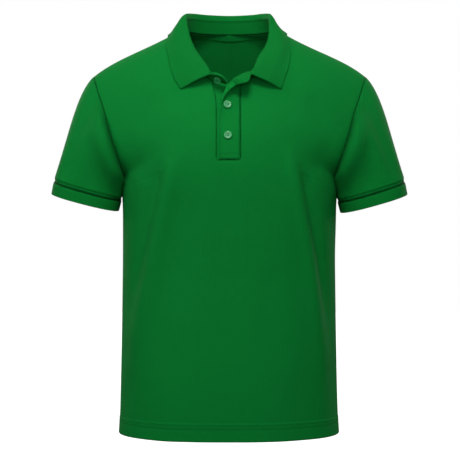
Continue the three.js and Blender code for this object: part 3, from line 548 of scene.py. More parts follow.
def crease_height(creases, x, z):
    """Height of all creases at x and z: each is a soft bell across its path, and fades along it."""
    total = np.zeros(np.shape(x))
    for places, wide, high in creases:
        best, along = np.full(np.shape(x), 1e9), np.zeros(np.shape(x))
        for i, ((x0, z0), (x1, z1)) in enumerate(zip(places, places[1:])):
            dx, dz = x1 - x0, z1 - z0
            t = np.clip(((x - x0) * dx + (z - z0) * dz) / (dx * dx + dz * dz), 0, 1)
            away = np.hypot(x - x0 - t * dx, z - z0 - t * dz)
            nearer = away < best
            best = np.where(nearer, away, best)
            along = np.where(nearer, (i + t) / (len(places) - 1), along)
        fade = smooth(0, 0.3, along + 0.12) * (1 - 0.95 * smooth(0.5, 1, along))
        total += high * fade * np.exp(-((best / wide) ** 2))
    return total


def outward(net):
    """Unit normals of a net of points, from its own rows and columns."""
    return unit(np.cross(np.gradient(net, axis=1), np.gradient(net, axis=0)))


EASE_REACH = 0.12  # how far up and down a panel, in v, its points are averaged
EASE_STEPS = np.linspace(-1, 1, 11)
EASE_SHARES = (1 - EASE_STEPS**2 * 0.96) ** 2


def eased(place, side, v, u, meets_in_middle):
    """A panel's points, with the bends between its stretches of rows smoothed away from seams."""
    if meets_in_middle:
        middle = 1 - smooth(1.2, 1.4, v) * (1 - smooth(0, 0.2, u))
    else:
        middle = smooth(0, 0.22, u)
    reach = EASE_REACH * middle * (1 - smooth(0.88, 1, u))
    reach = reach * smooth(0, 0.2, v) * (1 - smooth(1.7, 1.95, v))
    steps = zip(EASE_STEPS, EASE_SHARES)
    return sum(part * place(side, v + k * reach, u) for k, part in steps) / EASE_SHARES.sum()


def creased(place, creases, side, v, u, meets_in_middle):
    """A panel's points with its creases, which die out towards every seam."""
    net = eased(place, side, v, u, meets_in_middle)
    calm = 1 - smooth(0.82, 0.98, u) * np.where(v > 0.9, 1, 0.85)
    calm = calm * (1 if meets_in_middle else smooth(0, 0.15, u)) * (1 - smooth(1.6, 1.95, v))
    high = crease_height(creases, net[..., 0], net[..., 2]) * np.where(u >= 1, 0, calm)
    face = side if place is front_point else -side
    return net + outward(net) * (high * face)[..., None]

# %% [markdown]
# ## Sleeves and cuffs
# A set-in sleeve is a short tube that starts at the armhole and ends at a tilted ring, where a
# ribbed cuff is sewn on. Every line down it is a curve between the two. The cloth sinks behind
# the armhole seam and stands up again in soft bands towards the cuff.

# %% Sleeve and cuff surfaces
SLEEVE_RING = {"middle": [255.4, 1, -294.3], "wide": 62.6, "tilt": 15.8, "deep": 50.5, "dip": 6}
CUFF_TOP = {"middle": [255.5, 1, -294.6], "wide": 61.8, "tilt": 15.8, "deep": 49.7, "dip": 6}
CUFF_END = {"middle": [260.2, 1, -315.4], "wide": 61, "tilt": 14.6, "deep": 50, "dip": 6}
# place round the armhole, handle at the armhole, handle at the ring
SLEEVE_ROWS = table([
    [0.0, 1.6, 0, -7, 0.5, 0, -16], [0.1, 13, -4, -13, 0, 0, -20], [0.22, 26, -7, -20, 13, 1, -34],
    [0.36, 31, -5, -24, 20, 2, -56], [0.5, 32, 0, -29, 26, 0, -78], [0.64, 31, 7, -24, 20, -2, -58],
    [0.78, 26, 8, -20, 13, -1, -34], [0.9, 13, 4, -13, 0, 0, -20], [1.0, 1.6, 0, -7, 0.5, 0, -16],
])
# place round and down the sleeve, half widths of both, height
SLEEVE_CREASES = [
    (0.27, 0.3, 0.07, 0.34, -3), (0.37, 0.5, 0.045, 0.5, 2.6), (0.73, 0.3, 0.07, 0.34, -3),
    (0.63, 0.5, 0.045, 0.5, 2.2), (0.16, 0.55, 0.05, 0.4, 2.0), (0.32, 0.6, 0.03, 0.3, -2.6),
    (0.67, 0.62, 0.03, 0.3, -2.2), (0.24, 0.78, 0.03, 0.16, 1.4), (0.42, 0.8, 0.03, 0.2, -1.2),
]
VALLEY_DEPTH, VALLEY_FALL, VALLEY_WIDTH = 18.0, 7.0, 40.0  # the fold behind the armhole, in mm


def ring_point(side, ring, f):
    """f runs 0 to 1 from the body side over the front, the outside and the back."""
    a = 2 * math.pi * np.asarray(f, float)
    tilt, dip = math.radians(ring["tilt"] + (1.2 if side > 0 else 0)), math.radians(ring["dip"])
    full = 1 + 0.05 * np.sin(2 * a) ** 2
    across, deep = -np.cos(a) * ring["wide"] * full, -np.sin(a) * ring["deep"] * full
    across = across - 1.2 * np.clip(np.cos(a), 0, 1) ** 4  # the side at the body hangs against it
    x, y, z = ring["middle"]
    drop = 1.5 if side > 0 else -0.5
    return point(side * (x + across * math.cos(tilt)), y + deep * math.cos(dip),
                 z - drop + across * math.sin(tilt) + deep * math.sin(dip))


def armhole_point(side, f):
    """f runs round the armhole from the underarm over the front, and 0.5 is the shoulder tip."""
    f = np.asarray(f, float)
    ring = np.where((f <= 0.5)[..., None], ARMHOLE_FRONT(np.minimum(2 * f, 1)),
                    ARMHOLE_BACK(np.clip(2 * (1 - f), 0, 1)))
    return ring * [side, 1, 1]


def sleeve_point(side, f, d):
    """f runs round the sleeve, and d runs 0 to 1 from the armhole to the cuff."""
    f, d = np.broadcast_arrays(f, d)
    h = SLEEVE_ROWS(f)
    turned = [side, 1, 1]
    net = bezier(armhole_point(side, f), h[..., :3] * turned, h[..., 3:] * turned,
                 ring_point(side, SLEEVE_RING, f), d)
    high = sum(high * np.exp(-(((f - f0) / wf) ** 2) - ((d - d0) / wd) ** 2)
               for f0, d0, wf, wd, high in SLEEVE_CREASES) * smooth(0, 0.12, d)
    # behind the armhole seam the cloth falls away at once, and comes forward again slowly
    from_seam = lengths(net, 1)
    valley = (1 - np.exp(-from_seam / VALLEY_FALL)) * np.exp(-((from_seam / VALLEY_WIDTH) ** 2))
    from_body = np.minimum(f, 1 - f)
    folded = smooth(0, 0.09, from_body) * (1 - smooth(0.2, 0.42, from_body))
    high = (high - VALLEY_DEPTH * valley * folded) * (1 - smooth(0.86, 1, d))
    return net - outward(net) * (high * side)[..., None]

# %% [markdown]
# ## Collar and placket
# The collar is a leaf that rolls over a band, the stand. Cross-sections round the neck say where
# the stand ends, where the roll has its crest and where the leaf's edge lies. The neck is left
# unbuttoned: the upper placket's corner rolls outwards, and the stand's ends follow it.

# %% Collar surfaces
LEAF_STOPS = [0, 0.14, 0.28, 0.62, 1]  # top of the stand, crest, past the crest, middle, edge
LEAF_SIDE = [
    (0.0, [0, 66, 20.7], [0, 68.5, 31], [0, 75, 27], [0, 78.5, 3], [0, 89, -26]),
    (0.16, [39, 57.5, 20.5], [40, 60, 31.2], [43, 66.5, 27], [47, 72.5, 3], [56.5, 84, -23.5]),
    (0.3, [64, 38, 20], [66, 40, 30.2], [71.5, 45, 26], [81, 52, 4], [95, 61.5, -17.8]),
    (0.42, [76, 16, 17], [78, 18, 26], [84.5, 20, 21.5], [94.5, 22, 3.5], [108.5, 24, -14.8]),
    (0.5, [77.5, 2, 11.5], [79, 4, 18.5], [86.5, 4, 15.8], [97, 1, 1.5], [111.5, -2, -13.8]),
    (0.59, [75.5, -12, -7], [76.2, -10, 0.5], [83.5, -12, -1.5], [98.5, -18, -14], [113.8, -21, -29]),
    (0.68, [71, -28, -28], [71, -26, -20.5], [78.5, -30, -22.5], [94, -38, -36], [109.5, -43, -52]),
    (0.78, [62.5, -45, -50], [62.5, -44, -43], [70, -50, -46], [86.5, -58.5, -60], [103.6, -63, -80]),
    (0.87, [51, -60.5, -69], [51, -61, -62.5], [58, -68, -66], [75.5, -74, -82], [95.8, -80, -103]),
]
LEAF_FRONT_LEFT = [
    (0.94, [44, -79, -84], [45, -79, -78.5], [51, -84, -82], [69, -86, -97], [93.9, -86, -111.8]),
    (1.0, [36.4, -99, -99.5], [39, -99.5, -98], [45, -99, -100.5], [65, -96, -109], [91.5, -90, -119.2]),
]
LEAF_FRONT_RIGHT = [
    (0.94, [39.5, -77, -84], [40, -78, -79], [46.5, -83, -83], [64, -85, -97], [90, -86, -111.2]),
    (1.0, [30.2, -92.6, -98.8], [32.2, -94.6, -97.4], [39, -95, -99.5], [59, -94, -108], [86.5, -90, -119]),
]
LEFT_CLOSER = [5.5, 5.5, 8, 9, 8.5]  # how much closer the left side of the leaf lies, for each stop


def leaf_columns(front):
    """One curve round the neck for each of the five stops."""
    columns = []
    for k in range(1, 6):
        rows = [[row[0], *row[k]] for row in LEAF_SIDE + front]
        mirrored = [-rows[1][0], -rows[1][1], *rows[1][2:]]
        columns.append(table([mirrored, *rows]))
    return columns


LEAF_LEFT, LEAF_RIGHT = leaf_columns(LEAF_FRONT_LEFT), leaf_columns(LEAF_FRONT_RIGHT)


def leaf_point(s, c):
    """s runs -1 (wearer's right end) to 1 round the neck, c runs 0 to 1 across the leaf."""
    s, c = np.broadcast_arrays(np.asarray(s, float), np.asarray(c, float))
    around = np.abs(s)
    closer = smooth(0.1, 0.36, around) * (1 - smooth(0.5, 0.74, around))
    stops = []
    for left, right, near in zip(LEAF_LEFT, LEAF_RIGHT, LEFT_CLOSER):
        on_left = left(around) - point(closer * near, 0, 0)
        stops.append(np.where((s < 0)[..., None], right(around) * [-1, 1, 1], on_left))
    return through(LEAF_STOPS, np.stack(stops), c)


def neck_seam(s):
    """The seam between body and stand, for the same s as the leaf."""
    s = np.asarray(s, float)
    around, side = np.abs(s), np.where(s < 0, -1.0, 1.0)
    back = NECK_BACK(np.minimum(2 * around, 1)) * point(side, 1, 1)
    share = np.clip(1 - 2 * (around - 0.5), 0, 1)
    front = np.where((s > 0)[..., None], NECK_FRONT_LEFT(share), NECK_FRONT_RIGHT(share))
    return np.where((around <= 0.5)[..., None], back, front)


# height at its seam, then x, distance in front of the chest and z of two shaping points and the edge
TOP_PLACKET = table([
    [-245.3, 6.4, 0, -245.3, -5.4, 0, -245.3, -17.2, 0, -245.3],
    [-205, 6.4, 0, -205, -5.6, 0, -205, -17.4, 0, -205],
    [-172, 6.4, 0, -172, -6, 0, -171, -17.6, 0.4, -170],
    [-149, 4, 0.2, -147, -22, 3, -141, -11, 8.5, -142],
    [-128, 3, 0.6, -124, -14, 7, -112, 0.7, 16, -126],
    [-109.2, 9, 1.2, -106, -1, 12, -100, 11.2, 24, -117.7],
])
PLACKET_SEAM_X = 18.3
PLACKET_OUT, UNDER_IN = 0.4, 2.25  # how far the plackets lie in front of and behind the chest


def chest(z, out):
    """Depth of the place that lies out mm in front of the centre front line."""
    z = np.minimum(-109, z)
    slope = (FRONT_LINE(z + 1) - FRONT_LINE(z - 1))[..., 0] / 2
    return FRONT_LINE(z)[..., 0] - out * np.hypot(1, slope)


def top_placket_point(b, a):
    """b runs 0 to 1 upwards, a runs 0 to 1 from the seam to the free edge."""
    b, a = np.broadcast_arrays(b, a)
    z = mix(-245.3, -109.2, b)
    r, y = TOP_PLACKET(z), chest(z, PLACKET_OUT)
    p0 = point(PLACKET_SEAM_X, y, z)
    p1, p2, p3 = [point(r[..., k], y - r[..., k + 1], r[..., k + 2]) for k in (0, 3, 6)]
    return bezier(p0, p1 - p0, p3 - p2, p3, a)


def under_placket_point(b, a):
    """b runs 0 to 1 upwards, a runs 0 to 1 towards the wearer's left."""
    b, a = np.broadcast_arrays(b, a)
    z = mix(-250, -108.5, b)
    slope = (right_depth(z + 1) - right_depth(z - 1)) / 2
    flare = SLIT_FLARE(np.clip(z, -245.6, -107.6))[..., 0]
    return point(mix(SLIT_RIGHT - 3 + flare, 11, a), right_depth(z) + UNDER_IN * np.hypot(1, slope),
                 z - a * 5.5 * smooth(-140, -108.5, z))


# place along the end, then the seam, the point that the strip bends towards and the top edge
END_LEFT_BEND = table([[0, 24, -94, -86], [0.35, 18.5, -103, -92], [0.7, 17, -114, -103],
                       [1, 22, -119, -115.5]])
END_LEFT_TOP = table([[0, 36.4, -99, -99.5], [0.35, 35.8, -107, -103.5], [0.7, 34.8, -114, -108.5],
                      [1, 31.5, -119, -113.5]])
END_RIGHT_SEAM = table([[0, -30, -82, -107.6], [0.33, -20.5, -84.5, -110.6], [0.66, -11, -86, -112],
                        [1, -4.5, -86.5, -113]])
END_RIGHT_BEND = table([[0, -33, -88, -83.5], [0.33, -20.5, -105, -90.5], [0.66, -11, -107.5, -96.5],
                        [1, -4, -104, -107]])
END_RIGHT_TOP = table([[0, -30.2, -92.6, -98.8], [0.33, -20, -105, -100.5], [0.66, -11, -108.5, -106],
                       [1, -4.5, -107.5, -115]])


def stand_point(s, c):
    """s runs -2 to -1 along the right end, -1 to 1 round the neck, 1 to 2 along the left end."""
    s, c = np.broadcast_arrays(np.asarray(s, float), np.asarray(c, float))
    neck, past_left, past_right = np.clip(s, -1, 1), np.clip(s - 1, 0, 1), np.clip(-s - 1, 0, 1)
    seam, top = neck_seam(neck), leaf_point(neck, np.zeros(s.shape))
    bend = (seam + top) / 2
    hold = smooth(0.92, 1, np.abs(neck))[..., None]
    end = np.where((s < 0)[..., None], END_RIGHT_BEND(0), END_LEFT_BEND(0))
    bend = mix(bend, end, hold)
    on_left, on_right = (s > 1)[..., None], (s < -1)[..., None]
    seam = np.where(on_left, top_placket_point(np.ones(s.shape), past_left), seam)
    seam = np.where(on_right, END_RIGHT_SEAM(past_right), seam)
    bend = np.where(on_left, END_LEFT_BEND(past_left), np.where(on_right, END_RIGHT_BEND(past_right), bend))
    top = np.where(on_left, END_LEFT_TOP(past_left), np.where(on_right, END_RIGHT_TOP(past_right), top))
    c = c[..., None]
    return (1 - c) ** 2 * seam + 2 * c * (1 - c) * bend + c**2 * top

# %% [markdown]
# ## From a net to sewn cloth
# A piece of cloth is a net of four-sided cells in the middle of its thickness. The wall is made
# by moving the net out and in by half the thickness and closing it round the rim, which keeps
# one even thickness. Where two pieces are sewn, both rims take the same slanted direction and
# sink a little, as seam allowances pull them in. Blender's Solidify would give the thickness,
# but not rims that meet those of a neighbour.

# %% Cloth nets
WELD_STEPS, MEET_STEPS = 500, 50  # steps to a mm: points in one step are one point, or meet


class Cloth:
    """One sewn piece, made of patches of cells."""

    def __init__(self, name, finish, thickness, tone=1.0):
        """tone is how strongly shade is painted along the cloth's seams, 0 to 1."""
        self.name, self.finish, self.thickness, self.tone = name, finish, thickness, tone
        self.patches = []

    def patch(self, net, thickness=None, sunk=0.0, turn=False, mirror=False, shade=0.0):
        """net is rows by columns of points; turn swaps its outer face; mirror runs the weave back."""
        shape = net.shape[:2]
        half = np.broadcast_to(self.thickness if thickness is None else thickness, shape) / 2
        weave = np.stack([lengths(net, 1) * (-1 if mirror else 1), lengths(net, 0)], -1)
        self.patches.append({"net": net, "half": half, "sunk": np.broadcast_to(sunk, shape),
                             "shade": np.broadcast_to(shade, shape), "weave": weave, "turn": turn})
        return self

    def weld(self):
        """Joins the patches' points, and finds cells, normals and rim."""
        raw = np.concatenate([p["net"].reshape(-1, 3) for p in self.patches])
        keys = np.round((raw + 1e-5) * WELD_STEPS).astype(np.int64)
        _, first, same = np.unique(keys, axis=0, return_index=True, return_inverse=True)
        same = same.reshape(-1)
        self.points = raw[first]
        for key in ("half", "sunk", "shade"):
            setattr(self, key, np.concatenate([p[key].ravel() for p in self.patches])[first])
        cells, corners, base = [], [], 0
        for p in self.patches:
            rows, columns = p["net"].shape[:2]
            grid = base + np.arange(rows * columns).reshape(rows, columns)
            cell = np.stack([grid[:-1, :-1], grid[:-1, 1:], grid[1:, 1:], grid[1:, :-1]], -1)
            cell = cell.reshape(-1, 4)[:, ::-1 if p["turn"] else 1]
            cells.append(same[cell])
            corners.append(cell)
            p["index"] = same[grid]
            base += rows * columns
        self.cells, corners = np.concatenate(cells), np.concatenate(corners)
        weave = np.concatenate([p["weave"].reshape(-1, 2) for p in self.patches])
        self.cell_weave = weave[corners] * MM
        a, b, c, d = [self.points[self.cells[:, k]] for k in range(4)]
        face = np.cross(c - a, d - b)
        self.normals = np.zeros_like(self.points)
        for k in range(4):
            np.add.at(self.normals, self.cells[:, k], face)
        self.normals /= np.linalg.norm(self.normals, axis=1, keepdims=True)
        edges = np.concatenate([self.cells[:, [k, (k + 1) % 4]] for k in range(4)])
        code = edges @ [len(self.points), 1]
        self.rim = edges[~np.isin(code, edges @ [1, len(self.points)])]


def meeting_normals(pieces):
    """For every point, the direction shared by all pieces that have a point there."""
    every = np.concatenate([p.points for p in pieces])
    keys = np.round((every + 1e-4) * MEET_STEPS).astype(np.int64)
    _, same = np.unique(keys, axis=0, return_inverse=True)
    same = same.reshape(-1)
    total = np.zeros((same.max() + 1, 3))
    np.add.at(total, same, np.concatenate([p.normals for p in pieces]))
    count = np.bincount(same)
    total /= np.linalg.norm(total, axis=1, keepdims=True)
    ends = np.cumsum([len(p.points) for p in pieces])
    for piece, directions, several in zip(pieces, np.split(total[same], ends[:-1]),
                                          np.split(count[same] > 1, ends[:-1])):
        piece.shared, piece.sewn = directions, several


FREE_EDGE_THIN = 0.6  # a free edge is rounded by thinning its rim
SEAM_SINK = 0.75


def cloth_object(piece):
    """Makes the closed wall of a piece, which is kept as piece.object."""
    count = len(piece.points)
    on_rim = np.zeros(count, bool)
    on_rim[piece.rim.ravel()] = True
    out = np.where(on_rim[:, None], piece.shared, piece.normals)
    lean = np.maximum(0.3, np.einsum("ij,ij->i", out, piece.normals))
    half = piece.half * np.where(on_rim & ~piece.sewn, FREE_EDGE_THIN, 1)
    middle = piece.points - out * (piece.sunk * SEAM_SINK)[:, None]
    step = out * (half / lean)[:, None]
    piece.outside, piece.inside = middle + step, middle - step
    walls = np.concatenate([piece.cells, piece.cells[:, ::-1] + count,
                            np.stack([piece.rim[:, 1], piece.rim[:, 0],
                                      piece.rim[:, 0] + count, piece.rim[:, 1] + count], -1)])
    mesh = bpy.data.meshes.new(piece.name)
    mesh.from_pydata((np.concatenate([piece.outside, piece.inside]) * MM).tolist(), [], walls.tolist())
    weave = np.concatenate([piece.cell_weave, piece.cell_weave[:, ::-1],
                            np.zeros((len(piece.rim), 4, 2))]).reshape(-1, 2)
    layer = mesh.uv_layers.new(name="cloth")
    layer.data.foreach_set("uv", weave.ravel())
    # the seam attribute carries painted shade: darker colour along each seam's sunk line and deep in the
    # fold behind the armhole
    seam = mesh.attributes.new("seam", "FLOAT", "POINT")
    painted_shade_level = np.maximum(piece.tone * np.clip(piece.sunk, 0, 1) ** 1.6, piece.shade)
    seam.data.foreach_set("value", np.tile(painted_shade_level, 2))
    mesh.materials.append(piece.finish)
    mesh.shade_smooth()
    made = bpy.data.objects.new(piece.name + "_cloth", mesh)
    bpy.context.scene.collection.objects.link(made)
    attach(made, "root")
    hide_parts(piece.name)
    piece.object = made
    a, b, c, d = [piece.points[piece.cells[:, k]] for k in range(4)]
    area = np.linalg.norm(np.cross(c - a, d - b), axis=1).sum() / 2 * MM * MM
    sides = [(lengths(p["net"], 1)[:, -1].max(), lengths(p["net"], 0)[-1].max()) for p in piece.patches]
    print(f"{piece.name}: {2 * len(walls)} triangles, {area:.4f} m2,",
          ", ".join(f"{across:.0f} x {along:.0f} mm" for across, along in sides))

# %% [markdown]
# ## The front and the back in cloth
# Cells are about 3 mm wide, so that the smallest crease has a dozen of them, with three narrow
# rows along every seam for its sunk line. The hem is turned up 29 mm and is two layers thick.

# %% Front and back
PIQUE_THICK, HEM_THICK, BAND_THICK, TAPE_THICK = 1.3, 2.2, 2.0, 1.2
HEM_DEPTH = 29.0
SEAM_REACH = 1.5  # mm from a seam at which its sunk line has nearly died out
NARROW = np.array([0.7, 1.5, 2.7])


def with_seams(places, length, start=True, end=True):
    """Adds narrow cells of real width at the ends of places, which run over a length in mm."""
    low, high = places[0], places[-1]
    near = NARROW / length * (high - low)
    # an ordinary cell starts well clear of the narrow ones
    kept = places[1:-1]
    kept = kept[(kept > low + 1.4 * near[-1] * start) & (kept < high - 1.4 * near[-1] * end)]
    parts = [[low], low + near if start else [], kept, (high - near)[::-1] if end else [], [high]]
    return np.concatenate(parts)


def sunk_near(distance, reach=SEAM_REACH):
    """1 at a seam, dying out with the distance from it."""
    return np.exp(-((distance / reach) ** 2))


PANEL_WIDTH, YOKE_HEIGHT, LOWER_HEIGHT = 225.0, 95.0, 460.0
HEM_STITCHES, STITCH_DENT, DENT_REACH = (21.5, 28.0), 0.35, 0.9
ACROSS = with_seams(np.linspace(0, 1, 68), PANEL_WIDTH)
hem_top = HEM_DEPTH / LOWER_HEIGHT
near_stitches = [(line + k) / LOWER_HEIGHT for line in HEM_STITCHES for k in (-1.6, -0.8, 0, 0.8, 1.6)]
lower = np.linspace(0, 1, 142)
lower = lower[(lower < 19 / LOWER_HEIGHT) | (lower > 31 / LOWER_HEIGHT)]
LOWER = np.unique(np.concatenate([[0, 0.0016], lower[1:], near_stitches, [24.8 / LOWER_HEIGHT, hem_top]]))


def upper_rows(corner):
    """Rows above the underarm; the neckline starts at the corner."""
    return np.concatenate([1 + corner * np.linspace(0, 1, 43),
                           with_seams(np.linspace(1 + corner, 2, 43), YOKE_HEIGHT, start=False)[1:]])


FRONT_UPPER, BACK_UPPER = upper_rows(0.5), upper_rows(BACK_CORNER)


def stitch_dents(rows):
    """The thread pulls the hem's cloth in along each row of stitches."""
    return sum(STITCH_DENT * sunk_near(rows * LOWER_HEIGHT - line, DENT_REACH) for line in HEM_STITCHES)


def body_patch(piece, place, creases, side, upper, meets_in_middle):
    rows = np.concatenate([LOWER, upper[1:]])[:, None]
    across = ACROSS[None, :]
    net = creased(place, creases, side, rows, across, meets_in_middle)
    from_middle = lengths(net, 1)
    to_seam = from_middle[:, -1:] - from_middle
    sunk = sunk_near(to_seam)
    corner = 1.0 if not meets_in_middle else 1 + BACK_CORNER
    sunk = np.maximum(sunk, np.where(rows > corner, sunk_near(from_middle), 0))
    from_hem = lengths(net, 0)
    to_shoulder = from_hem[-1:] - from_hem
    sunk = np.maximum(sunk, sunk_near(to_shoulder)) + stitch_dents(rows)
    thick = np.where(rows <= hem_top + 1e-6, HEM_THICK, PIQUE_THICK) * np.ones_like(across)
    front_side = place is front_point
    turn = (side < 0) if front_side else (side > 0)
    piece.patch(net, thick, sunk, turn, mirror=side < 0)


front = Cloth("front", pique, PIQUE_THICK)
for side in (1, -1):
    body_patch(front, front_point, FRONT_CREASES + FINE_FRONT_CREASES, side, FRONT_UPPER, False)
strip = LOWER[:, None]
share = np.linspace(0, 1, 14)[None, :, None]
strip_net = mix(front_point(-1, strip, 0.0), front_point(1, strip, 0.0), share)
strip_sunk = sunk_near(lengths(strip_net, 0)[-1:] - lengths(strip_net, 0)) + stitch_dents(strip)
front.patch(strip_net, np.where(strip <= hem_top + 1e-6, HEM_THICK, PIQUE_THICK), strip_sunk)

back = Cloth("back", pique, PIQUE_THICK)
for side in (1, -1):
    body_patch(back, back_point, BACK_CREASES + FINE_BACK_CREASES, side, BACK_UPPER, True)

# %% [markdown]
# ## Sleeves and cuffs in cloth
# Above the cuff seam the sleeve carries a narrow raised strip, where its edge is folded under
# and stitched down. The cuff's free end is knitted in one piece, so it is a plain round edge.
# The cloth deep in the fold behind the armhole is drawn a darker green, because the lamps alone
# leave that fold paler than it is on the real shirt.

# %% Sleeves and cuffs
ROUND = np.concatenate([(FRONT_UPPER - 1) / 2, 1 - (BACK_UPPER[:-1][::-1] - 1) / 2])
SLEEVE_LENGTH, SLEEVE_PLAIN, CUFF_LENGTH = 150.0, 140.0, 22.0
STRIP_DEPTH, STRIP_RISE = 5.5, 1.4
FOLD_SHADE, FOLD_REACH = 0.9, 15.0
CUFF_SINK, CUFF_REACH = 2.4, 1.7
near_cuff = 1 - np.array([0.9, 1.8, 3.0, 4.2, 5.0, 5.8, 6.8, 8.0]) / SLEEVE_LENGTH
plain = with_seams(np.linspace(0, 0.94, 58), SLEEVE_PLAIN, end=False)
DOWN = np.unique(np.concatenate([plain, near_cuff, [1]]))


def sleeve_cloth(side):
    name = "left" if side > 0 else "right"
    f, d = np.where(ROUND == 1, 0, ROUND)[:, None], DOWN[None, :]
    net = sleeve_point(side, f, d)
    down = lengths(net, 1)
    to_cuff = down[:, -1:] - down
    raised = smooth(0.4, 1.6, to_cuff) * (1 - smooth(STRIP_DEPTH - 0.6, STRIP_DEPTH + 0.8, to_cuff))
    net = net - outward(net) * (side * STRIP_RISE * raised)[..., None]
    around = lengths(net, 0)
    under_seam = np.minimum(around, around[-1:] - around)
    sunk = np.maximum(sunk_near(down), 0.8 * sunk_near(under_seam))
    sunk = np.maximum(sunk, CUFF_SINK * sunk_near(to_cuff, CUFF_REACH))
    sunk = sunk + 0.6 * sunk_near(to_cuff - STRIP_DEPTH - 0.8, DENT_REACH)
    from_body = np.minimum(f, 1 - f)
    # painted shade: the cloth deep in the fold behind the armhole is drawn darker, where shade falls
    painted_fold_shade = FOLD_SHADE * sunk_near(down, FOLD_REACH)
    painted_fold_shade = painted_fold_shade * smooth(0, 0.04, from_body) * (1 - smooth(0.2, 0.44, from_body))
    sleeve = Cloth("sleeve_" + name, pique, PIQUE_THICK)
    sleeve.patch(net, None, sunk, side < 0, shade=painted_fold_shade)
    t = with_seams(np.linspace(0, 1, 9), CUFF_LENGTH)[None, :, None]
    top, end = ring_point(side, CUFF_TOP, f), ring_point(side, CUFF_END, f)
    cuff_net = mix(top, end, t)
    from_seam = lengths(cuff_net, 1)
    cuff = Cloth("cuff_" + name, ribbed, BAND_THICK)
    cuff.patch(cuff_net, None, CUFF_SINK * sunk_near(from_seam, CUFF_REACH), side < 0)
    # ribs run down the cuff, so its weave counts round the arm first
    cuff.patches[0]["weave"] = cuff.patches[0]["weave"][..., ::-1]
    return sleeve, cuff


sleeves_and_cuffs = [piece for side in (1, -1) for piece in sleeve_cloth(side)]

# %% [markdown]
# ## Collar, stand, plackets and neck tape in cloth
# The leaf and the stand meet in a seam just below the crest, seen as a fine line inside the
# neck. A pressed collar lies on the shirt, so each point of the leaf's outer part moves along the
# body's own normal until only a little air is left under it.

# %% Collar and placket pieces
neck_front = (FRONT_UPPER[FRONT_UPPER >= 1.5] - 1.5) / 0.5
neck_back = (BACK_UPPER[BACK_UPPER >= 1 + BACK_CORNER - 1e-9] - 1 - BACK_CORNER) / (1 - BACK_CORNER)
half_neck = np.concatenate([neck_back / 2, 1 - neck_front[:-1][::-1] / 2])
NECK = np.concatenate([-half_neck[1:][::-1], half_neck])
END_LENGTH, STAND_HEIGHT, LEAF_DEPTH, PLACKET_LENGTH = 36, 26, 70, 150
END_STEPS = with_seams(np.linspace(0, 1, 16), END_LENGTH, start=False)[1:]
STAND = np.concatenate([-1 - END_STEPS[::-1], NECK, 1 + END_STEPS])
UP_STAND = with_seams(np.linspace(0, 1, 11), STAND_HEIGHT)

stand = Cloth("collar_stand", ribbed, BAND_THICK)
stand_net = stand_point(STAND[:, None], UP_STAND[None, :])
up = lengths(stand_net, 1)
stand.patch(stand_net, None, np.maximum(sunk_near(up), 0.6 * sunk_near(up[:, -1:] - up)))
stand.patches[0]["weave"] = stand.patches[0]["weave"][..., ::-1]

LEAF_CLEAR = 1.0  # air between the leaf's edge and the cloth below it
LEAF_MOVES = (-3, 8)  # the furthest that a point is pushed out and let down
CHEST_ROW = 140  # the net's row a little below the underarm; the leaf lies over those above it
half_panels = [(front.patches[0]["net"], 1), (front.patches[1]["net"], -1),
               (back.patches[0]["net"], -1), (back.patches[1]["net"], 1)]
body_points = np.concatenate([net[CHEST_ROW:].reshape(-1, 3) for net, _ in half_panels])
body_normals = np.concatenate([(outward(net) * turn)[CHEST_ROW:].reshape(-1, 3)
                               for net, turn in half_panels])
nearest = KDTree(len(body_points))
for i, spot in enumerate(body_points):
    nearest.insert(spot, i)
nearest.balance()


def laid_down(net, share):
    """Lets the leaf's outer part down on to the body until only a little air is left."""
    flat = net.reshape(-1, 3)
    near = np.array([nearest.find(spot)[1] for spot in flat])
    gap = dot(flat - body_points[near], body_normals[near]).reshape(net.shape[:2])
    drop = gap - (PIQUE_THICK + BAND_THICK) / 2 - LEAF_CLEAR
    drop = np.clip(drop, *LEAF_MOVES) * share
    return net - body_normals[near].reshape(net.shape) * drop[..., None]


leaf = Cloth("collar", ribbed, BAND_THICK)
across_leaf = with_seams(np.linspace(0, 1, 30), LEAF_DEPTH)[None, :]
leaf_net = leaf_point(NECK[:, None], across_leaf)
leaf_net = laid_down(leaf_net, smooth(0.6, 1, across_leaf))
leaf.patch(leaf_net, None, 0.6 * sunk_near(lengths(leaf_net, 1)))
leaf.patches[0]["weave"] = leaf.patches[0]["weave"][..., ::-1]

top_placket = Cloth("placket_top", pique, BAND_THICK, tone=0.3)
up_placket = np.concatenate([np.linspace(0, 0.5, 26), np.linspace(0.5, 1, 34)[1:]])
placket_net = top_placket_point(with_seams(up_placket, PLACKET_LENGTH)[:, None],
                                np.concatenate([[0], END_STEPS])[None, :])
across_placket, up_edge = lengths(placket_net, 1), lengths(placket_net, 0)
placket_sunk = np.maximum(sunk_near(across_placket), sunk_near(up_edge))
top_placket.patch(placket_net, None, placket_sunk, True)

under_placket = Cloth("placket_under", pique, BAND_THICK)
under_placket.patch(under_placket_point(np.linspace(0, 1, 46)[:, None], np.linspace(0, 1, 14)[None, :]))

# %% [markdown]
# The tape covers the seam between the back and the stand, and lies on the inside of the back.
# Each of its points is the place on the back that is
# nearest to a point a little below the neck seam, found in a few steps from a first guess.

# %% Neck tape
TAPE_DEPTH = (1.3, 16.0)  # of its upper and lower edge under the neck seam
TAPE_WIDTH = 13
TAPE_AIR = 0.55
SEARCH_STEPS, SEARCH_SHARE = 30, 0.7  # each step goes this share of the way to the place


def slopes(place, r, c, e=1e-3):
    """A place of a surface, and how it moves with each of its two coordinates."""
    here = place(r, c)
    return here, (place(r + e, c) - here) / e, (place(r, c + e) - here) / e


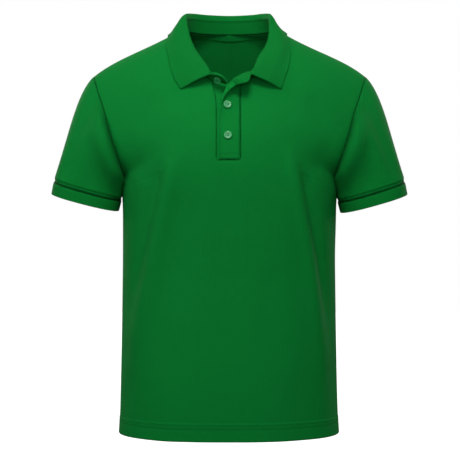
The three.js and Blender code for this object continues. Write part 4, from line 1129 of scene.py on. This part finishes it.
def tape_half(side, around, t):
    """around runs 0 to 0.5 from the centre back to the shoulder, t runs 0 to 1 downwards."""
    around, t = np.broadcast_arrays(around, t)
    s = side * around

    def place(r, c):
        return back_point(side, np.minimum(2, r), np.maximum(0, c))

    share = np.minimum(1, 2 * around)
    v = 1 + mix(BACK_CORNER, 1, share)
    seam = neck_seam(s)
    along_seam = unit(neck_seam(s + 0.01) - neck_seam(s - 0.01))
    _, by_r, by_c = slopes(place, np.minimum(1.99, v), np.full(v.shape, 0.02))
    down = unit(np.cross(unit(np.cross(by_c, by_r)) * side, along_seam))
    down = np.where(((down[..., 2] > 0) & (share < 0.9))[..., None], -down, down)
    down = np.where((dot(down, np.array([side, 1, -1])) < 0)[..., None], -down, down)
    drop = mix(*TAPE_DEPTH, t)
    target = seam + down * drop[..., None]
    r, c = np.minimum(1.98, v), drop * share / 160
    for _ in range(SEARCH_STEPS):
        here, by_r, by_c = slopes(place, r, c)
        gap = target - here
        a, b, d = dot(by_r, by_r), dot(by_r, by_c), dot(by_c, by_c)
        gr, gc, det = dot(by_r, gap), dot(by_c, gap), a * d - b * b
        r = np.clip(r + SEARCH_SHARE * (gr * d - gc * b) / det, 1.3, 1.998)
        c = np.clip(c + SEARCH_SHARE * (gc * a - gr * b) / det, 0, 0.4)
    _, by_r, by_c = slopes(place, r, np.maximum(c, 0.002))
    inward = unit(np.cross(by_c, by_r)) * side
    return place(r, c) + inward * (PIQUE_THICK / 2 + TAPE_AIR + TAPE_THICK / 2)


tape = Cloth("neck_tape", pique, TAPE_THICK)
half_way = np.linspace(0, 0.5, 50)[:, None]
down_tape = with_seams(np.linspace(0, 1, 7), TAPE_WIDTH)[None, :]
tape_right, tape_left = [tape_half(side, half_way, down_tape) for side in (-1, 1)]
tape.patch(np.concatenate([tape_right[::-1], tape_left[1:]]))

# %% [markdown]
# ## Sewing the pieces together
# All nets are welded first, because a rim's direction depends on every piece that meets there.

# %% Walls of all the cloth
pieces = [front, back, *sleeves_and_cuffs, stand, leaf, top_placket, under_placket, tape]
for piece in pieces:
    piece.weld()
meeting_normals(pieces)
for piece in pieces:
    cloth_object(piece)

# %% [markdown]
# ## Stitches
# Each stitch that shows is a short length of thread that lies on the cloth and dives into it at
# both ends. One could draw a whole row as a bump in the material, but it would look flat from
# the side. Here each stitch is a small six-sided spindle, and all those of one row are one mesh.
# Real thread is about 0.4 mm thick, and it is drawn 0.7 mm thick, because a finer one would not
# show. Rows follow lines at a set distance from a piece's edge, worked out on its own net.

# %% Stitches
STITCH_PITCH, STITCH_SHARE, THREAD_WIDE = 3.0, 0.8, 0.7
SLEEVE_PITCH, FINE_PITCH = 2.6, 2.4
# distance of a row from its edge, in mm
TAPE_STITCH, STAND_STITCH, FREE_EDGE_STITCH, SEAM_STITCH = 1.8, 2.4, 2.6, 2.2
BOX_STITCH, FOOT_STITCH = 10.4, 1.2
SPINDLE = [(-0.62, 0.78, 0.16), (0, 1, 0.3), (0.62, 0.78, 0.16)]  # place, width, height over the cloth
SPINDLE_SIDES, TIP_DEPTH = 6, 0.35


def line_on(piece, distance, patch=0, axis=0, from_end=False, inner=False):
    """Points and normals of the line at a distance in mm from a net's first or last row."""
    index = piece.patches[patch]["index"]
    index = index.T if axis == 1 else index
    index = index[::-1] if from_end else index
    face, sign = (piece.inside, -1) if inner else (piece.outside, 1)
    run = lengths(piece.points[index], 0)
    k = np.clip((run < distance).sum(0) - 1, 0, len(run) - 2)
    j = np.arange(run.shape[1])
    t = ((distance - run[k, j]) / np.maximum(run[k + 1, j] - run[k, j], 1e-9))[:, None]
    low, high = index[k, j], index[k + 1, j]
    return mix(face[low], face[high], t), sign * unit(mix(piece.normals[low], piece.normals[high], t))


def at_places(run, values, places):
    """Values of a line's points, whose lengths along it are run, at other lengths along it."""
    return np.stack([np.interp(places, run, values[:, k]) for k in range(3)], -1)


def stitch_row(spots, normals, pitch=STITCH_PITCH):
    """The start, end and normal of each stitch along a line of points."""
    run = lengths(spots, 0)
    count = max(1, round(run[-1] / pitch))
    starts = (np.arange(count) + (1 - STITCH_SHARE) / 2) * run[-1] / count
    ends = starts + STITCH_SHARE * run[-1] / count
    facing = unit(at_places(run, normals, (starts + ends) / 2))
    return at_places(run, spots, starts), at_places(run, spots, ends), facing


def shown_piece(name, points, faces, finish):
    """A mesh in millimetres that rides on the shirt."""
    mesh = bpy.data.meshes.new(name)
    mesh.from_pydata((points * MM).tolist(), [], faces)
    mesh.materials.append(finish)
    mesh.shade_smooth()
    made = bpy.data.objects.new(name, mesh)
    bpy.context.scene.collection.objects.link(made)
    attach(made, "root")
    return made


def stitches(name, rows, wide=THREAD_WIDE):
    """One mesh of all the stitches of the rows."""
    start, end, up = (np.concatenate(part) for part in zip(*rows))
    middle, half = (start + end) / 2, (end - start) / 2
    side = unit(np.cross(half, up))
    up = unit(np.cross(side, half))
    points = [start - up * TIP_DEPTH * wide]
    for place, width, height in SPINDLE:
        for k in range(SPINDLE_SIDES):
            turn = 2 * math.pi * k / SPINDLE_SIDES
            around = side * math.cos(turn) + up * math.sin(turn)
            points.append(middle + half * place + up * height * wide + around * width * wide / 2)
    points.append(end - up * TIP_DEPTH * wide)
    points = np.stack(points, 1)
    n, last = SPINDLE_SIDES, points.shape[1] - 1

    def ring(r, k):
        return 1 + r * n + k % n

    one = [(0, ring(0, k), ring(0, k + 1)) for k in range(n)]
    one += [(ring(r, k), ring(r + 1, k), ring(r + 1, k + 1), ring(r, k + 1))
            for r in (0, 1) for k in range(n)]
    one += [(last, ring(2, k + 1), ring(2, k)) for k in range(n)]
    faces = [tuple(i * (last + 1) + corner for corner in face)
             for i in range(len(points)) for face in one]
    print(f"{name}: {len(points)} stitches")
    return shown_piece(name, points.reshape(-1, 3), faces, thread)


def part_of(line, low, high):
    """The stretch of a line between two shares of its points."""
    first, last = round(low * (len(line[0]) - 1)), round(high * (len(line[0]) - 1)) + 1
    return line[0][first:last], line[1][first:last]


sewn = {}
for piece, patches in ((front, (0, 1, 2)), (back, (0, 1))):
    sewn[piece.name] = [stitches(f"stitches_hem_{piece.name}", [
        stitch_row(*line_on(piece, line, patch)) for patch in patches for line in HEM_STITCHES])]
for piece in sleeves_and_cuffs[::2]:
    sewn[piece.name] = [stitches(f"stitches_{piece.name}", [
            stitch_row(*line_on(piece, STRIP_DEPTH + 0.8, axis=1, from_end=True), SLEEVE_PITCH)])]
sewn["neck_tape"] = [stitches("stitches_neck_tape", [
    stitch_row(*line_on(tape, TAPE_STITCH, axis=1, from_end=True, inner=True), FINE_PITCH)])]
sewn["collar_stand"] = [stitches("stitches_collar_stand", [
    stitch_row(*part_of(line_on(stand, STAND_STITCH, axis=1, inner=True), 0.1, 0.9), FINE_PITCH)])]
free_edge = part_of(line_on(top_placket, FREE_EDGE_STITCH, axis=1, from_end=True), 0.06, 1)
placket_lines = [line_on(top_placket, SEAM_STITCH, axis=1), free_edge,
                 line_on(top_placket, BOX_STITCH), line_on(top_placket, FOOT_STITCH)]
sewn["placket_top"] = [stitches("stitches_placket", [
    stitch_row(*line, FINE_PITCH) for line in placket_lines])]

# %% [markdown]
# ## Buttonhole in the stand
# A buttonhole is a slit between two rows of close stitches that lie across it. The one that
# shows is at the open end of the stand. Those of the placket are under their buttons.

# %% Buttonhole
HOLE_PLACE, HOLE_ENDS, HOLE_PITCH, HOLE_WIDE = 0.5, (5.0, 19.0), 0.8, 2.4
end_rows = np.flatnonzero(STAND > 1)
hole_row = end_rows[np.argmin(np.abs(STAND[end_rows] - 1 - HOLE_PLACE))]
row_index = stand.patches[0]["index"][hole_row]
run_up = lengths(stand.points[row_index], 0)
places = np.arange(*HOLE_ENDS, HOLE_PITCH)
spots = at_places(run_up, stand.inside[row_index], places)
facing = -at_places(run_up, stand.normals[row_index], places)
across_hole = unit(np.cross(np.gradient(spots, axis=0), facing)) * HOLE_WIDE / 2
bars = [(spots + side * 0.15 * across_hole, spots + side * across_hole, facing) for side in (1, -1)]
sewn["collar_stand"].append(stitches("stitches_buttonhole", bars, 0.6))

# %% [markdown]
# ## Buttons
# A shirt button is turned from resin sheet: a raised rim, a shallow dish, and four holes. Each is
# a round net whose height follows that profile, dips deep at the holes, and stays at the place
# and tilt of its solid, which are measured from the solid's own points. The thread crosses
# between the holes in two short bars.

# %% Buttons
BUTTON_RADIUS, CENTRE_RING = 6.86, 0.12
# radius, height of the face
BUTTON_PROFILE = table([
    [0, 0.62], [2.2, 0.55], [3.9, 0.62], [4.7, 0.95], [5.4, 1.2], [6.1, 1.16], [6.6, 0.85],
    [BUTTON_RADIUS, 0.4],
])
# radius, height of the back
BUTTON_BACK = np.array([[BUTTON_RADIUS, -0.4], [6.5, -1.0], [5.6, -1.2], [CENTRE_RING, -1.2]])
HOLE_OFFSET, HOLE_RADIUS, HOLE_FLOOR = 1.25, 0.72, -0.7
BUTTON_SEGMENTS = 96
BAR_OFFSET, BAR_HEIGHT = 0.22, 0.55  # two threads lie side by side in each bar
# which way the bars of thread run
BUTTONS = {"button_neck": "upright", "button_upper": "upright", "button_lower": "level"}


def button_frame(name):
    """Centre, axes (right, up, out) of a button's solid, in millimetres."""
    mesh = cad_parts[name].data
    spots = np.array([v.co for v in mesh.vertices]) / MM
    _, _, axes = np.linalg.svd(spots - spots.mean(0))
    out = axes[2] * -np.sign(axes[2][1])
    right = unit(np.cross(out, [0, 0, -1.0]))
    axes = np.array([right, np.cross(out, right), out])
    local = spots @ axes.T
    return (local.max(0) + local.min(0)) / 2 @ axes, axes


def button(name):
    """Makes a button, and gives it with its bars of thread."""
    centre, axes = button_frame(name)
    rings = np.concatenate([np.linspace(CENTRE_RING, 2.9, 22), np.linspace(3.2, BUTTON_RADIUS, 15)])
    turn = np.arange(BUTTON_SEGMENTS) * 2 * math.pi / BUTTON_SEGMENTS
    x, y = rings[:, None] * np.cos(turn), rings[:, None] * np.sin(turn)
    z = BUTTON_PROFILE(rings) * np.ones_like(x)
    for side_x, side_y in ((1, 1), (1, -1), (-1, 1), (-1, -1)):
        away = np.hypot(x - side_x * HOLE_OFFSET, y - side_y * HOLE_OFFSET)
        z = mix(HOLE_FLOOR, z, smooth(HOLE_RADIUS - 0.12, HOLE_RADIUS + 0.1, away))
    x = np.concatenate([x, BUTTON_BACK[:, :1] * np.cos(turn)])
    y = np.concatenate([y, BUTTON_BACK[:, :1] * np.sin(turn)])
    z = np.concatenate([z, BUTTON_BACK[:, 1:] * np.ones_like(turn)])
    points = np.stack([x, y, z], -1).reshape(-1, 3) @ axes + centre
    rows, n = len(x), BUTTON_SEGMENTS
    faces = [(r * n + k, (r + 1) * n + k, (r + 1) * n + (k + 1) % n, r * n + (k + 1) % n)
             for r in range(rows - 1) for k in range(n)]
    faces += [tuple(range(n)), tuple(reversed(range((rows - 1) * n, rows * n)))]
    made = shown_piece(name + "_resin", points, faces, resin)
    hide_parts(name)
    bars = []
    for along, beside in ((1, -1), (1, 1), (-1, -1), (-1, 1)):
        start = np.array([along * HOLE_OFFSET + beside * BAR_OFFSET, -HOLE_OFFSET, BAR_HEIGHT])
        end = start * [1, -1, 1]
        if BUTTONS[name] == "level":
            start, end = start[[1, 0, 2]], end[[1, 0, 2]]
        bars.append(tuple(row[None, :] for row in (start @ axes + centre, end @ axes + centre, axes[2])))
    return made, bars


made_buttons = [button(name) for name in BUTTONS]
stitches("button_thread", [bar for _, bars in made_buttons for bar in bars], 0.75)
print("buttons:", ", ".join(made.name for made, _ in made_buttons))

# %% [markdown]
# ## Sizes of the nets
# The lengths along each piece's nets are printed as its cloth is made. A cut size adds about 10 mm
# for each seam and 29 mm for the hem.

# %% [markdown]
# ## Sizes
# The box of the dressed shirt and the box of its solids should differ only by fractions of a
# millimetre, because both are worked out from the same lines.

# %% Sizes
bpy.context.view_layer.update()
